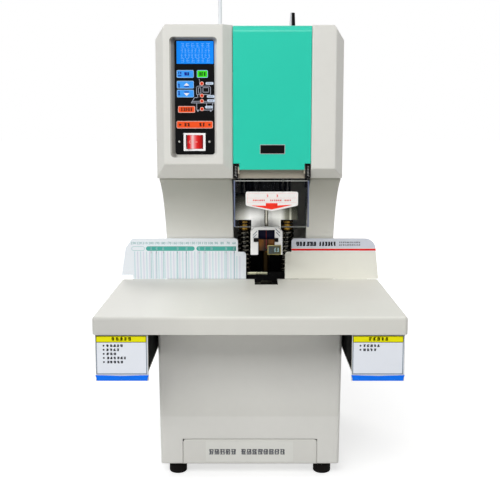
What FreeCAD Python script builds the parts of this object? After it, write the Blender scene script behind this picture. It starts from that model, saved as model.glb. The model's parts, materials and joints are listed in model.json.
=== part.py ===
"""Document riveting machine: a desk press that drills paper stacks for nylon tube rivets.

Frame: millimetres, X to the right, -Y to the front, +Z up. The origin is on the floor, below the
middle of the machine. Every length in the sheet "Sizes" is a driving size, and each sub-part reads
its own sizes and places from it through expressions.
"""
import FreeCAD, Part
import math
import os
import re
import Sketcher

SIZES = {
    # Casing sheet, fits and clearances
    "wall": 2.5, "sheet": 2.0, "fit": 0.3, "running": 0.05, "overshoot": 1.0,
    # Table
    "table_width": 420, "table_front": 215, "table_rear": 71, "table_height": 261,
    "table_apron": 24.4, "table_corner": 6, "table_bend": 4.5, "work_x": 26, "notch_width": 37, "notch_depth": 50,
    # Base casing, base plate and feet
    "base_front": 115, "casing_back": 212, "base_taper": 3, "base_corner": 5,
    "foot_height": 18.5, "foot_radius": 13, "foot_round": 3, "foot_spacing_x": 214,
    "foot_setback": 20, "foot_rear_inset": 22,
    # Chip drawer
    "chip_width": 196, "chip_height": 37, "chip_length": 180, "chip_corner": 4.5, "chip_side_gap": 3,
    "chip_rim": 2,
    # Neck casing and throat
    "neck_width": 272, "neck_gap": 4, "bend_rise": 70, "neck_lap": 14, "soffit_front": 27,
    "neck_curve_front": 87.2, "curve_drop": 65.8, "throat_left": 27, "throat_right": 91,
    "throat_bridge": 2.5,
    # Head shells
    "head_rise": 173, "shell_height": 219, "left_front": 74, "right_front": 66,
    "cover_left": 25, "cover_right": 89, "bevel_width": 12, "bevel_depth": 16,
    "top_chamfer_width": 15.4, "top_chamfer_height": 20, "chin_depth": 17,
    "left_chin": 21.6, "right_chin": 14.4,
    "inner_bevel_width": 14, "inner_bevel_depth": 12, "soffit_overlap": 2.5,
    # Control panel and its recess
    "panel_left": 108.2, "panel_right": 50.9, "panel_rise": 35, "panel_drop": 21,
    "recess_slope": 5, "recess_steep": 3, "recess_depth": 6.5, "recess_rim": 6,
    "recess_round": 4, "panel_lap": 2,
    "board_gap": 4.5, "board_sheet": 1.6, "board_rise": 35, "standoff_radius": 2,
    "standoff_inset": 4,
    "lcd_left": 104.9, "lcd_drop": 33.6, "lcd_width": 52.8, "lcd_height": 31.8, "lcd_proud": 0.7,
    "key_proud": 1.0, "key_travel": 0.8, "key_clear": 0.25, "key_height": 10.8, "key_round": 1.6,
    "wide_key": 24.4, "narrow_key": 15.8, "key_left": 105.0, "start_left": 76.2, "stop_left": 103.6,
    "menu_drop": 53.3, "up_drop": 68.4, "down_drop": 81.0, "stop_drop": 102.8, "stop_height": 9.4,
    "led_radius": 1.4, "led_x": 69.2, "led_proud": 0.8,
    "led_drop_a": 61.4, "led_drop_b": 78.5, "led_drop_c": 86.2, "led_drop_d": 97.5,
    # Rocker switch
    "switch_x": 80.2, "switch_rise": 18.3, "bezel_width": 31.6, "bezel_height": 25.6,
    "bezel_proud": 2, "switch_body_width": 28, "switch_body_height": 22.6, "switch_depth": 17,
    "button_width": 22.8, "button_height": 19.4, "button_rise": 4.6, "button_valley": 3.4,
    "button_heel": 3, "button_taper": 2, "button_side_clear": 1.1, "button_end_clear": 0.3,
    "rocker_pin": 1.2, "rocker_pin_reach": 1.2, "rocker_axis_depth": 1.0, "rocker_tilt": 7,
    # Green cover and its hinge
    "cover_front": 64, "cover_rise": 13, "cover_gap": 0.5, "cover_bend": 10, "cover_notch": 9,
    "cover_axis_y": 20, "barrel_radius": 2.0, "hinge_pin": 1.0, "knuckle_length": 14,
    "knuckle_relief": 0.5,
    # Lip below the cover
    "lip_inset": 7.4, "lip_setback": 4, "lip_height": 28, "lip_depth": 8, "ear_height": 10,
    # Guard
    "guard_x": 31.5, "guard_width": 110.8, "guard_front": 58, "guard_depth": 50, "guard_gap": 3,
    "guard_height": 69, "guard_wall": 3, "guard_axis_front": 56, "guard_axis_rise": 12,
    "arm_width": 8, "arm_thick": 3, "arm_drop": 26, "hub_rise": 10.5, "hub_round": 2.5,
    "guard_pin": 2.0,
    "sign_x": 32.2, "sign_width": 77.2, "sign_drop": 16.5, "sign_side": 20.5, "sign_point": 8.2,
    "sign_sheet": 0.8, "sign_corner": 3,
    # Guide plates on the rear edge of the table
    "guide_height": 67, "guide_sheet": 2, "guide_relief": 6.5, "relief_length": 18.4,
    "shoulder_inset": 7, "guide_shoulder_height": 51, "top_inset": 18, "guide_step_height": 45,
    "left_guide_inner": 6.5, "left_guide_step": 13.2, "right_guide_inner": 57,
    "right_guide_step": 10.5, "guide_corner": 5,
    "right_guide_corner": 18, "guide_tab_gap": 4, "guide_tab_drop": 20,
    # Side tool boxes and their housings
    "box_margin": 3.5, "box_setback": 3, "box_drop": 25, "box_height": 63, "box_face": 2.5,
    "tray_rise": 13.4, "tray_rim": 6, "tray_margin": 9, "tray_wall": 1.5,
    "tray_flange": 5.5, "flange_sheet": 1.5, "housing_margin": 1.5, "housing_sheet": 1.2,
    "skirt_drop": 19,
    "housing_rise": 30, "housing_lip": 6, "housing_setback": 14, "housing_back": 10,
    # Back cover, screws, vents and inlet
    "back_sheet": 1.5, "back_margin": 3, "back_rise": 4, "back_drop": 8,
    "back_gap": 1.2,
    "vent_length": 50, "vent_height": 4, "vent_pitch": 12, "vent_count": 8, "vent_low": 100,
    "vent_x": 60, "screw_radius": 3.5, "screw_head": 2, "screw_shank": 1.5, "screw_length": 6,
    "screw_inset": 11, "screw_low": 40, "screw_edge": 20,
    "inlet_x": 110, "inlet_z": 66, "inlet_width": 28, "inlet_height": 21, "inlet_flange": 6,
    "inlet_proud": 3, "inlet_depth": 22, "inlet_well": 15, "inlet_wall": 2, "inlet_pin": 2,
    # Press frame
    "frame_half": 60, "stand_sheet": 8, "stand_front": 95, "frame_gap": 12, "bed_drop": 21,
    "bed_sheet": 24, "notch_clear": 1, "spine_half": 30, "spine_sheet": 12,
    "crown_drop": 53, "crown_sheet": 12, "crown_reach": 18, "post_radius": 5, "post_x": 50,
    "post_inset": 10,
    # Columns, springs and lift screw
    "column_x": 35.5, "column_y": 100, "column_radius": 5.5,
    "coil_radius": 6.9, "coil_wire": 2.2, "coil_turns": 13,
    "screw_rod": 6, "journal": 4, "journal_depth": 8, "journal_top": 20,
    "lift_motor_radius": 22, "lift_motor_height": 34,
    # Crosshead
    "travel": 46.5, "press_clear": 0.5, "crosshead_rise": 50, "head_height": 40, "head_half": 51.5,
    "head_reach": 26, "tongue_half": 24, "tongue_depth": 12, "tongue_drop": 23,
    "groove_half": 8.3, "groove_depth": 12.3, "shelf_half": 33, "shelf_length": 56,
    "shelf_sheet": 10, "bush_radius": 10, "collar_radius": 9, "collar_height": 20,
    "nut_radius": 9.5, "nut_drop": 8,
    # Spindle, drill and drill drive
    "spindle_y": 51, "housing_radius": 13, "housing_lift": 4, "housing_height": 68,
    "housing_bore": 10.5, "bracket_half": 20, "bracket_depth": 18, "bracket_height": 32,
    "slot_half": 8.6, "slot_gap": 2, "slot_depth": 14.4, "cheek_height": 25, "cap_sheet": 5,
    "cheek": 6, "bearing_height": 8, "bearing_seat": 4, "spindle_radius": 5, "spindle_end": 5,
    "chuck_radius": 8, "chuck_clear": 5, "chuck_gap": 0.3, "spindle_pulley": 15,
    "pulley_rise": 7, "pulley_height": 12, "drill_radius": 3, "drill_bore": 2, "drill_clear": 1,
    "motor_offset": 50, "motor_radius": 28.5, "motor_height": 70, "motor_pulley": 12,
    "motor_shaft": 4, "motor_shaft_depth": 8, "belt_sheet": 2, "belt_width": 9, "belt_gap": 0.3,
    # Press foot
    "yoke_half": 25.2, "yoke_reach": 27, "yoke_depth": 12, "yoke_height": 44,
    "window_half": 13, "window_height": 39.5, "yoke_bevel": 7, "guide_rise": 6,
    "guide_block_height": 19, "guide_inset": 3, "guide_reach": 9, "guide_bore": 3.5,
    "stem_half": 8, "stem_gap": 0.3, "stem_depth": 11.4, "stem_height": 61, "press_travel": 45,
    "press_coil": 5.2, "press_wire": 1.2, "press_turns": 12,
    # Anvil
    "anvil_length": 44, "anvil_drop": 4, "pad_radius": 9, "pad_seat": 2,
    "backstop_left": 5, "backstop_gap": 12.5, "backstop_sheet": 3, "backstop_rise": 9,
    # Rivet tube and clearing pin
    "tube_x": 46, "tube_y": 40, "tube_radius": 2.8, "tube_bore": 1.8, "tube_drop": 93,
    "tube_rise": 70, "sleeve_radius": 6, "sleeve_drop": 53, "sleeve_proud": 3, "sleeve_bore": 3.1,
    "pin_x": 66.7, "pin_y": 70, "grip_low_radius": 5, "grip_top_radius": 3.65, "grip_height": 30,
    "needle_radius": 1.2, "needle_drop": 63, "socket_radius": 7, "socket_proud": 2,
    "socket_drop": 8, "needle_clear": 0.2,
}

# Places and lengths that follow from the driving sizes
DERIVED = {
    # Casings
    "back_face": "casing_back - back_sheet",
    "table_under": "table_height - sheet",
    "table_half": "table_width / 2",
    "neck_half": "neck_width / 2",
    "base_top_half": "neck_half - sheet - fit",
    "base_foot_half": "base_top_half - base_taper",
    "neck_low": "table_under - neck_lap",
    "neck_front": "table_rear + neck_gap",
    "neck_bend_height": "table_height + bend_rise",
    "neck_curve_height": "neck_bend_height - curve_drop",
    "throat_top": "head_bottom - throat_bridge",
    "head_bottom": "table_height + head_rise",
    "head_top": "head_bottom + shell_height",
    "foot_front": "base_front - foot_setback",
    "foot_rear": "casing_back - foot_rear_inset",
    # Control panel
    "panel_low": "head_bottom + panel_rise",
    "panel_high": "head_top - panel_drop",
    "panel_face": "recess_depth - left_front",
    "panel_back": "panel_face + sheet",
    "board_face": "panel_back + board_gap",
    "board_low": "panel_low + board_rise",
    "lcd_low": "panel_high - lcd_drop",
    "menu_low": "panel_high - menu_drop",
    "up_low": "panel_high - up_drop",
    "down_low": "panel_high - down_drop",
    "stop_low": "panel_high - stop_drop",
    "switch_z": "panel_low + switch_rise",
    "rocker_axis_y": "panel_face + rocker_axis_depth",
    # Green cover, lip and guard
    "cover_bottom": "head_bottom + cover_rise",
    "cover_low_x": "cover_gap - cover_left",
    "cover_high_x": "cover_right - cover_gap",
    "cover_end": "cover_axis_y - barrel_radius",
    "barrel_z": "head_top - wall / 2",
    "top_panel_front": "cover_axis_y + barrel_radius + knuckle_relief",
    "lip_low_x": "lip_inset - cover_left",
    "lip_high_x": "cover_right - lip_inset - overshoot",
    "lip_front": "guard_axis_front - lip_setback",
    "lip_soffit_front": "lip_front - lip_depth",
    "guard_high": "head_bottom - guard_gap",
    "guard_low": "guard_high - guard_height",
    "guard_axis_height": "head_bottom + guard_axis_rise",
    "guard_left": "guard_x - guard_width / 2",
    "guard_right": "guard_x + guard_width / 2",
    "sign_high": "guard_high - sign_drop",
    "sign_low": "sign_high - sign_side",
    # Guide plates
    "guide_end": "table_half",
    "guide_relief_start": "guide_end - relief_length",
    "guide_shoulder": "guide_end - shoulder_inset",
    "guide_top_end": "guide_end - top_inset",
    "guide_tab_start": "neck_half + guide_tab_gap",
    # Tool boxes
    "box_inner": "neck_half",
    "box_outer": "table_half - box_margin",
    "box_front": "table_front - box_setback",
    "box_high": "table_height - box_drop",
    "box_low": "box_high - box_height",
    "tray_low": "box_low + tray_rise",
    "tray_high": "box_high - tray_rim",
    "tray_inner": "box_inner + tray_margin",
    "tray_outer": "box_outer - tray_margin",
    "housing_low": "box_low + housing_rise",
    "housing_front": "box_front - housing_setback",
    # Back cover
    "back_low": "foot_height + back_rise",
    "back_high": "head_top - back_drop",
    "screw_x": "neck_half - screw_inset",
    "screw_step": "(back_high - screw_low - screw_edge) / 3",
    # Press frame
    "frame_rear": "casing_back - frame_gap",
    "bed_top": "table_height - bed_drop",
    "bed_low": "bed_top - bed_sheet",
    "bed_front": "table_rear - notch_depth + notch_clear",
    "crown_bottom": "head_top - crown_drop",
    "crown_top": "crown_bottom + crown_sheet",
    "crown_front": "column_y - crown_reach",
    "post_front": "crown_front + post_inset",
    "post_rear": "frame_rear - post_inset",
    # Crosshead, spindle and drive
    "yoke_low": "table_height + travel + press_clear",
    "guide_low": "yoke_low + guide_rise",
    "guide_high": "guide_low + guide_block_height",
    "head_low": "yoke_low + crosshead_rise",
    "crosshead_top": "head_low + head_height",
    "head_front": "column_y - head_reach",
    "head_rear": "column_y + head_reach",
    "shelf_rear": "head_rear + shelf_length",
    "tongue_low": "head_low - tongue_drop",
    "collar_low": "head_low - collar_height",
    "housing_bottom": "crosshead_top + housing_lift",
    "housing_top": "housing_bottom + housing_height",
    "bracket_rear": "head_front + bracket_depth",
    "bracket_top": "crosshead_top + bracket_height",
    "cap_bottom": "bracket_top + cheek_height",
    "slot_front": "spindle_y + housing_radius + slot_gap",
    "slot_rear": "head_front + slot_depth",
    "chuck_bottom": "guide_high + press_travel + chuck_clear",
    "chuck_top": "housing_bottom - chuck_gap",
    "drill_tip": "table_height + travel + drill_clear",
    "motor_y": "column_y + motor_offset",
    "motor_top": "crosshead_top + motor_height",
    "pulley_low": "motor_top + pulley_rise",
    "pulley_top": "pulley_low + pulley_height",
    "spindle_top": "pulley_top + spindle_end",
    # Press foot and anvil
    "yoke_front": "spindle_y - yoke_reach",
    "yoke_high": "yoke_low + yoke_height",
    "window_high": "yoke_low + window_height",
    "guide_front": "yoke_front + guide_inset",
    "guide_rear": "spindle_y + guide_reach",
    "stem_front": "head_front + stem_gap",
    "stem_top": "guide_low + stem_height",
    "anvil_half": "notch_width / 2 - fit",
    "anvil_rear": "bed_front + anvil_length",
    "anvil_top": "table_height - anvil_drop",
    "pad_low": "anvil_top - pad_seat",
    "backstop_front": "column_y - backstop_gap",
    "backstop_top": "table_height + backstop_rise",
    # Rivet tube and clearing pin
    "tube_low": "head_top - tube_drop",
    "tube_top": "head_top + tube_rise",
    "sleeve_low": "head_top - sleeve_drop",
    "sleeve_top": "head_top + sleeve_proud",
    "needle_low": "head_top - needle_drop",
    "socket_low": "head_top - wall - socket_drop",
    "socket_top": "head_top + socket_proud",
}

PLANES = {"X": "YZ_Plane", "Y": "XZ_Plane", "Z": "XY_Plane"}
UPRIGHT = {
    "X": FreeCAD.Rotation(FreeCAD.Vector(0, 1, 0), 90),
    "Y": FreeCAD.Rotation(FreeCAD.Vector(1, 0, 0), -90),
    "Z": FreeCAD.Rotation(),
}

doc = FreeCAD.newDocument("riveting_machine")
sheet = doc.addObject("Spreadsheet::Sheet", "Sizes")
for row, (alias, value) in enumerate(SIZES.items(), start=1):
    sheet.set(f"A{row}", alias)
    sheet.set(f"B{row}", str(value))
    sheet.setAlias(f"B{row}", alias)
probe = doc.addObject("Part::Vertex", "Probe")
doc.recompute()
nodes = []


# ---------------------------------------------------------------- helpers
def scoped(text):
    """Write out the derived names of an expression, and point each size at its cell of the sheet."""
    def written_out(word):
        name = word[0]
        if name in DERIVED:
            return f"({scoped(DERIVED[name])})"
        return f"Sizes.{name}" if name in SIZES else name

    return re.sub(r"[A-Za-z_]+", written_out, text)


def number(text):
    """Give the present value of an expression."""
    probe.setExpression("X", scoped(text))
    probe.recompute()
    return probe.X.Value


def bind(piece, expressions):
    """Bind several properties of a piece to expressions."""
    for prop, text in expressions.items():
        piece.setExpression(prop, scoped(text))
    return piece


def box(name, x, y, z):
    """Block between three pairs of planes, each pair given as (low, high)."""
    block = doc.addObject("Part::Box", name)
    sides = {"Length": x, "Width": y, "Height": z}
    bind(block, {prop: f"({high}) - ({low})" for prop, (low, high) in sides.items()})
    return bind(block, {f"Placement.Base.{axis}": low for axis, (low, _) in zip("xyz", (x, y, z))})


def rod(name, radius, centre, span, axis="Z"):
    """Round bar along an axis: centre gives the two other coordinates in X, Y, Z order."""
    bar = doc.addObject("Part::Cylinder", name)
    bar.Placement.Rotation = UPRIGHT[axis]
    bind(bar, {"Radius": radius, "Height": f"({span[1]}) - ({span[0]})"})
    places = dict(zip([letter for letter in "XYZ" if letter != axis], centre))
    places[axis] = span[0]
    return bind(bar, {f"Placement.Base.{letter.lower()}": text for letter, text in places.items()})


def ring(name, outer, inner, centre, span):
    """Upright tube with open ends."""
    return cut(name, rod(name + "_solid", outer, centre, span),
               rod(name + "_bore", inner, centre, past(span)))


def past(span):
    """Lengthen a span at both ends, so that a tool goes right through."""
    return (f"({span[0]}) - overshoot", f"({span[1]}) + overshoot")


def merge(kind, name, pieces):
    """Boolean of the given kind over a list of pieces."""
    result = doc.addObject(kind, name)
    result.Shapes = list(pieces)
    return result


def join(name, *pieces):
    """One solid made of touching pieces."""
    result = merge("Part::MultiFuse", name, pieces)
    result.Refine = True
    return result


def overlap(name, *pieces):
    """The space that all pieces share."""
    return merge("Part::MultiCommon", name, pieces)


def cut(name, base, *tools):
    """A base piece less its tools."""
    result = doc.addObject("Part::Cut", name)
    result.Base = base
    result.Tool = tools[0] if len(tools) == 1 else merge("Part::MultiFuse", name + "_tools", tools)
    return result


def group(name, *pieces):
    """Separate solids kept together as one sub-part."""
    result = doc.addObject("Part::Compound", name)
    result.Links = list(pieces)
    return result


def prism(name, axis, span, outline, rounds=()):
    """Body padded along an axis from a closed outline.

    The outline's points are the two other coordinates in X, Y, Z order. Rounds are pairs of a
    radius and the numbers of the outline's corners that it rounds.
    """
    body = doc.addObject("PartDesign::Body", name)
    sketch = body.newObject("Sketcher::SketchObject", name + "_sketch")
    plane = next(item for item in body.Origin.OriginFeatures if item.Role == PLANES[axis])
    sketch.AttachmentSupport = [(plane, "")]
    sketch.MapMode = "FlatFace"
    start = f"-({span[1]})" if axis == "Y" else span[0]
    bind(sketch, {"AttachmentOffset.Base.z": start})
    points = [FreeCAD.Vector(number(across), number(up), 0) for across, up in outline]
    count = len(points)
    for index in range(count):
        sketch.addGeometry(Part.LineSegment(points[index], points[(index + 1) % count]), False)
    for index, (across, up) in enumerate(outline):
        sketch.addConstraint(Sketcher.Constraint("Coincident", index - 1 if index else count - 1, 2,
                                                 index, 1))
        for kind, text, value in (("DistanceX", across, points[index].x),
                                  ("DistanceY", up, points[index].y)):
            place = sketch.addConstraint(Sketcher.Constraint(kind, -1, 1, index, 1, value))
            sketch.setExpression(f"Constraints[{place}]", scoped(text))
    pad = body.newObject("PartDesign::Pad", name + "_pad")
    pad.Profile = sketch
    bind(pad, {"Length": f"({span[1]}) - ({span[0]})"})
    for radius, corners in rounds:
        round_corners(body, sketch, radius, corners)
    return body


def round_corners(body, sketch, radius, corners):
    """Round the long edges of a padded body that start at the given corners of its sketch."""
    doc.recompute()
    tip = body.Tip
    wanted = [sketch.Placement.multVec(sketch.Geometry[corner].StartPoint) for corner in corners]
    edges = []
    for number_of_edge, edge in enumerate(tip.Shape.Edges, start=1):
        ends = [vertex.Point for vertex in edge.Vertexes]
        along = len(ends) == 2 and touches_line(ends, sketch)
        if along and any(min((end - point).Length for end in ends) < 1e-4 for point in wanted):
            edges.append(f"Edge{number_of_edge}")
    fillet = body.newObject("PartDesign::Fillet", f"{body.Name}_round_{len(body.Group)}")
    fillet.Base = (tip, edges)
    bind(fillet, {"Radius": radius})


def touches_line(ends, sketch):
    """Tell whether an edge runs along the normal of a sketch."""
    normal = sketch.Placement.Rotation.multVec(FreeCAD.Vector(0, 0, 1))
    direction = ends[1] - ends[0]
    return direction.Length > 1e-6 and direction.cross(normal).Length < 1e-6 * direction.Length


def coil(name, centre, radius, wire, turns, span):
    """Compression spring: a round wire along a helix between two planes."""
    low = number(span[0]) + number(wire) / 2
    high = number(span[1]) - number(wire) / 2
    helix = Part.makeHelix((high - low) / number(turns), high - low, number(radius))
    section = Part.Wire(Part.makeCircle(number(wire) / 2, FreeCAD.Vector(number(radius), 0, 0),
                                        FreeCAD.Vector(0, 1, 0)))
    spring = doc.addObject("Part::Feature", name)
    spring.Shape = Part.Wire(helix).makePipeShell([section], True, True)
    spring.Placement.Base = FreeCAD.Vector(number(centre[0]), number(centre[1]), low)
    return spring


def node(piece):
    """Register a finished sub-part under its own name."""
    piece.Label = piece.Name
    nodes.append(piece)
    return piece


def around(middle, half):
    """Span of a given half width about a middle plane."""
    return (f"({middle}) - ({half})", f"({middle}) + ({half})")


SIDES = (("right", ""), ("left", "-"))


# ---------------------------------------------------------------- base
def tapered_block(name, inset, front, rounding, z_span):
    """Casing-shaped block that narrows towards the floor."""
    low, high = z_span
    slope = "(base_taper / (table_under - foot_height))"
    top = f"(base_top_half - {inset} + ({high} - table_under) * {slope})"
    foot = f"(base_top_half - {inset} + ({low} - table_under) * {slope})"
    outline = [(f"-{foot}", low), (foot, low), (top, high), (f"-{top}", high)]
    block = prism(name, "Y", (f"-({front})", "back_face"), outline)
    doc.recompute()
    round_front_edges(block, front, rounding)
    return block


def round_front_edges(block, front, rounding):
    """Round the two nearly upright edges at the front of a casing block."""
    front_y = -number(front)
    tip = block.Tip
    edges = []
    for index, edge in enumerate(tip.Shape.Edges, start=1):
        box_of_edge = edge.BoundBox
        if box_of_edge.ZLength > 100 and abs(box_of_edge.YMax - front_y) < 1e-3:
            edges.append(f"Edge{index}")
    fillet = block.newObject("PartDesign::Fillet", block.Name + "_round")
    fillet.Base = (tip, edges)
    bind(fillet, {"Radius": rounding})


def round_bend(block, height, rounding):
    """Round the upper edges of a tray block along its front and its two sides."""
    doc.recompute()
    tip = block.Tip
    top, rear = number(height), tip.Shape.BoundBox.YMax
    edges = [f"Edge{index}" for index, edge in enumerate(tip.Shape.Edges, start=1)
             if edge.BoundBox.ZMin > top - 1e-3 and edge.BoundBox.YMin < rear - 1e-3]
    fillet = block.newObject("PartDesign::Fillet", block.Name + "_bend")
    fillet.Base = (tip, edges)
    bind(fillet, {"Radius": rounding})


def build_base():
    """Base casing, base plate, feet and chip drawer."""
    outer = tapered_block("base_outer", "0", "base_front", "base_corner",
                          ("foot_height", "table_under"))
    inner = tapered_block("base_inner", "sheet", "base_front - sheet", "base_corner - sheet",
                          ("(foot_height - overshoot)", "(table_under + overshoot)"))
    mouth = box("base_mouth", around("0", "chip_width / 2 + fit"),
                ("-base_front - overshoot", "-base_front + sheet + overshoot"),
                ("foot_height - overshoot", "foot_height + chip_height + fit"))
    rear = box("base_rear", around("0", "base_top_half - 2 * base_taper"),
               ("back_face - sheet", "back_face + overshoot"),
               ("foot_height - overshoot", "table_under + overshoot"))
    node(cut("base_casing", outer, inner, mouth, rear))

    half = "(base_foot_half - sheet - fit)"
    front = "(sheet + fit - base_front)"
    outline = [(f"-{half}", front), (half, front), (half, "back_face - fit"),
               (f"-{half}", "back_face - fit")]
    node(prism("base_plate", "Z", ("foot_height", "foot_height + sheet"), outline,
               [("base_corner", (0, 1))]))

    feet = []
    for name, sign_x, depth in (("a", "-", "-foot_front"), ("b", "", "-foot_front"),
                                ("c", "-", "foot_rear"), ("d", "", "foot_rear")):
        centre = (f"{sign_x}foot_spacing_x / 2", depth)
        post = rod(f"foot_{name}_post", "foot_radius", centre, ("0", "foot_height"))
        foot = doc.addObject("Part::Fillet", f"foot_{name}")
        foot.Base = post
        doc.recompute()
        low_edge = next(index for index, edge in enumerate(post.Shape.Edges, start=1)
                        if edge.BoundBox.ZMax < 1e-6)
        size = number("foot_round")
        foot.Edges = [(low_edge, size, size)]
        feet.append(foot)
    node(group("rubber_feet", *feet))


def build_chip_drawer():
    """Drawer that catches the drilled paper below the bed."""
    half = "(chip_width / 2)"
    outline = [(f"-{half}", "foot_height"), (half, "foot_height"),
               (half, "foot_height + chip_height"), (f"-{half}", "foot_height + chip_height")]
    face = prism("chip_face", "Y", ("-base_front", "-base_front + sheet"), outline,
                 [("chip_corner", (2, 3))])
    tray_low = "(foot_height + sheet + fit)"
    tray_half = f"({half} - chip_side_gap)"
    tray = box("chip_tray", around("0", tray_half),
               ("-base_front + sheet", "-base_front + chip_length"),
               (tray_low, "foot_height + chip_height - chip_rim"))
    hollow = box("chip_hollow", around("0", f"{tray_half} - sheet"),
                 ("-base_front + sheet", "-base_front + chip_length - sheet"),
                 (f"{tray_low} + sheet", "foot_height + chip_height + overshoot"))
    node(join("chip_drawer", face, cut("chip_body", tray, hollow)))


# ---------------------------------------------------------------- table
def build_table():
    """Work table: a sheet tray with aprons, notched at the rear for the anvil."""
    half = "(table_width / 2)"
    low = "(table_height - table_apron)"

    def tray(name, inset, z_span, rounding):
        outline = [(f"-({half} - {inset})", f"-(table_front - {inset})"),
                   (f"{half} - {inset}", f"-(table_front - {inset})"),
                   (f"{half} - {inset}", f"table_rear - {inset}"),
                   (f"-({half} - {inset})", f"table_rear - {inset}")]
        return prism(name, "Z", z_span, outline, [(rounding, (0, 1))])

    outer = tray("table_outer", "0", (low, "table_height"), "table_corner")
    inner = tray("table_inner", "sheet", (f"{low} - overshoot", "table_under"),
                 "table_corner - sheet")
    round_bend(outer, "table_height", "table_bend")
    round_bend(inner, "table_under", "table_bend - sheet")
    notch = box("table_notch", around("work_x", "notch_width / 2"),
                ("table_rear - notch_depth", "table_rear + overshoot"),
                (f"{low} - overshoot", "table_height + overshoot"))
    gap = box("table_gap", around("0", "neck_half + fit"),
              ("table_rear - sheet - overshoot", "table_rear + overshoot"),
              (f"{low} - overshoot", "table_under"))
    node(cut("table_top", outer, inner, notch, gap))


def build_guides():
    """The two paper guide plates that stand on the rear edge of the table."""
    low = "(table_height + fit)"
    high = "(table_height + guide_height)"
    step = "(table_height + guide_step_height)"
    relief = "(table_height + guide_relief)"
    y_span = ("table_rear", "table_rear + guide_sheet")
    tab_z = ("table_height - guide_tab_drop", f"{relief} + overshoot")

    outline = [("-left_guide_inner", low), ("-left_guide_inner", step),
               ("-left_guide_inner - left_guide_step", step),
               ("-left_guide_inner - left_guide_step", high),
               ("-guide_top_end", high),
               ("-guide_shoulder", "table_height + guide_shoulder_height"),
               ("-guide_end", relief), ("-guide_relief_start", relief),
               ("-guide_relief_start", low)]
    blade = prism("left_blade", "Y", y_span, outline, [("guide_corner", (1, 3, 4, 5))])
    tab = box("left_tab", ("-guide_relief_start + fit", "-guide_tab_start"), y_span, tab_z)
    node(join("guide_plate_left", blade, tab))

    outline = [("right_guide_inner", low), ("right_guide_inner", step),
               ("right_guide_inner + right_guide_step", step),
               ("right_guide_inner + right_guide_step", high), ("guide_shoulder", high),
               ("guide_end", low)]
    blade = prism("right_blade", "Y", y_span, outline,
                  [("guide_corner", (1, 3)), ("right_guide_corner", (4,))])
    tab = box("right_tab", ("guide_tab_start", "guide_relief_start - fit"), y_span, tab_z)
    node(join("guide_plate_right", blade, tab))


def mirrored(sign, low, high):
    """Span of a piece on the right side, or its mirror image on the left side."""
    return (low, high) if sign == "" else (f"-({high})", f"-({low})")


def signed(sign, outline):
    """Outline on the right side, or its mirror image on the left side."""
    return [(f"{sign}({across})", up) for across, up in outline]


def build_tool_boxes():
    """Tool boxes below both wings of the table, on channels fixed under the table."""
    channels = []
    inner = "(box_inner + housing_margin)"
    outer = "(box_outer - housing_margin)"
    flange_low = "(housing_low + housing_sheet + fit)"
    for side, sign in (("right", ""), ("left", "-")):
        face = box(f"{side}_face", mirrored(sign, "box_inner", "box_outer"),
                   ("-box_front", "-box_front + box_face"), ("box_low", "box_high"))
        length = ("-box_front + box_face", "-housing_back - fit")
        tray = box(f"{side}_tray", mirrored(sign, "tray_inner", "tray_outer"), length,
                   ("tray_low", "tray_high"))
        hollow = box(f"{side}_tray_hollow",
                     mirrored(sign, "tray_inner + tray_wall", "tray_outer - tray_wall"),
                     ("-box_front + box_face", "-housing_back - fit - tray_wall"),
                     ("tray_low + tray_wall", "tray_high + overshoot"))
        flange_z = (flange_low, f"{flange_low} + flange_sheet")
        near = box(f"{side}_near_flange", mirrored(sign, "tray_inner - tray_flange", "tray_inner"),
                   length, flange_z)
        far = box(f"{side}_far_flange", mirrored(sign, "tray_outer", "tray_outer + tray_flange"),
                  length, flange_z)
        body = cut(f"{side}_body", tray, hollow)
        node(join(f"tool_box_{side}", face, body, near, far))

        lip_top = "(housing_low + housing_sheet)"
        roof = "(table_under - housing_sheet)"
        profile = [(inner, "housing_low"), (inner, "table_under"), (outer, "table_under"),
                   (outer, "housing_low"), (f"{outer} - housing_lip", "housing_low"),
                   (f"{outer} - housing_lip", lip_top), (f"{outer} - housing_sheet", lip_top),
                   (f"{outer} - housing_sheet", roof), (f"{inner} + housing_sheet", roof),
                   (f"{inner} + housing_sheet", lip_top), (f"{inner} + housing_lip", lip_top),
                   (f"{inner} + housing_lip", "housing_low")]
        channel = prism(f"{side}_profile", "Y", ("-housing_front", "-housing_back"),
                        signed(sign, profile))
        skirt = box(f"{side}_skirt", mirrored(sign, inner, f"{inner} + housing_sheet"),
                    ("-housing_front", "-housing_back"),
                    ("housing_low - skirt_drop", "housing_low + housing_sheet"))
        channels.append(join(f"{side}_channel", channel, skirt))
    node(group("box_housings", *channels))


# ---------------------------------------------------------------- neck and head casings
def neck_block(name, inset, ends):
    """Neck-shaped block: a straight lower part and an upper part hollowed by the throat's curve."""
    low, high, back = ends
    half = f"neck_half - {inset}"
    radius = ("sqrt((neck_front + neck_curve_front)^2 + (neck_bend_height - neck_curve_height)^2)"
              f" + {inset}")
    upper = box(name + "_upper", around("0", half), (f"-soffit_front + {inset}", back),
                ("neck_bend_height", high))
    curve = rod(name + "_curve", radius, ("-neck_curve_front", "neck_curve_height"),
                around("0", "neck_half + overshoot"), "X")
    lower = box(name + "_lower", around("0", half), (f"neck_front + {inset}", back),
                (low, "neck_bend_height"))
    return join(name, cut(name + "_hollowed", upper, curve), lower)


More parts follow.
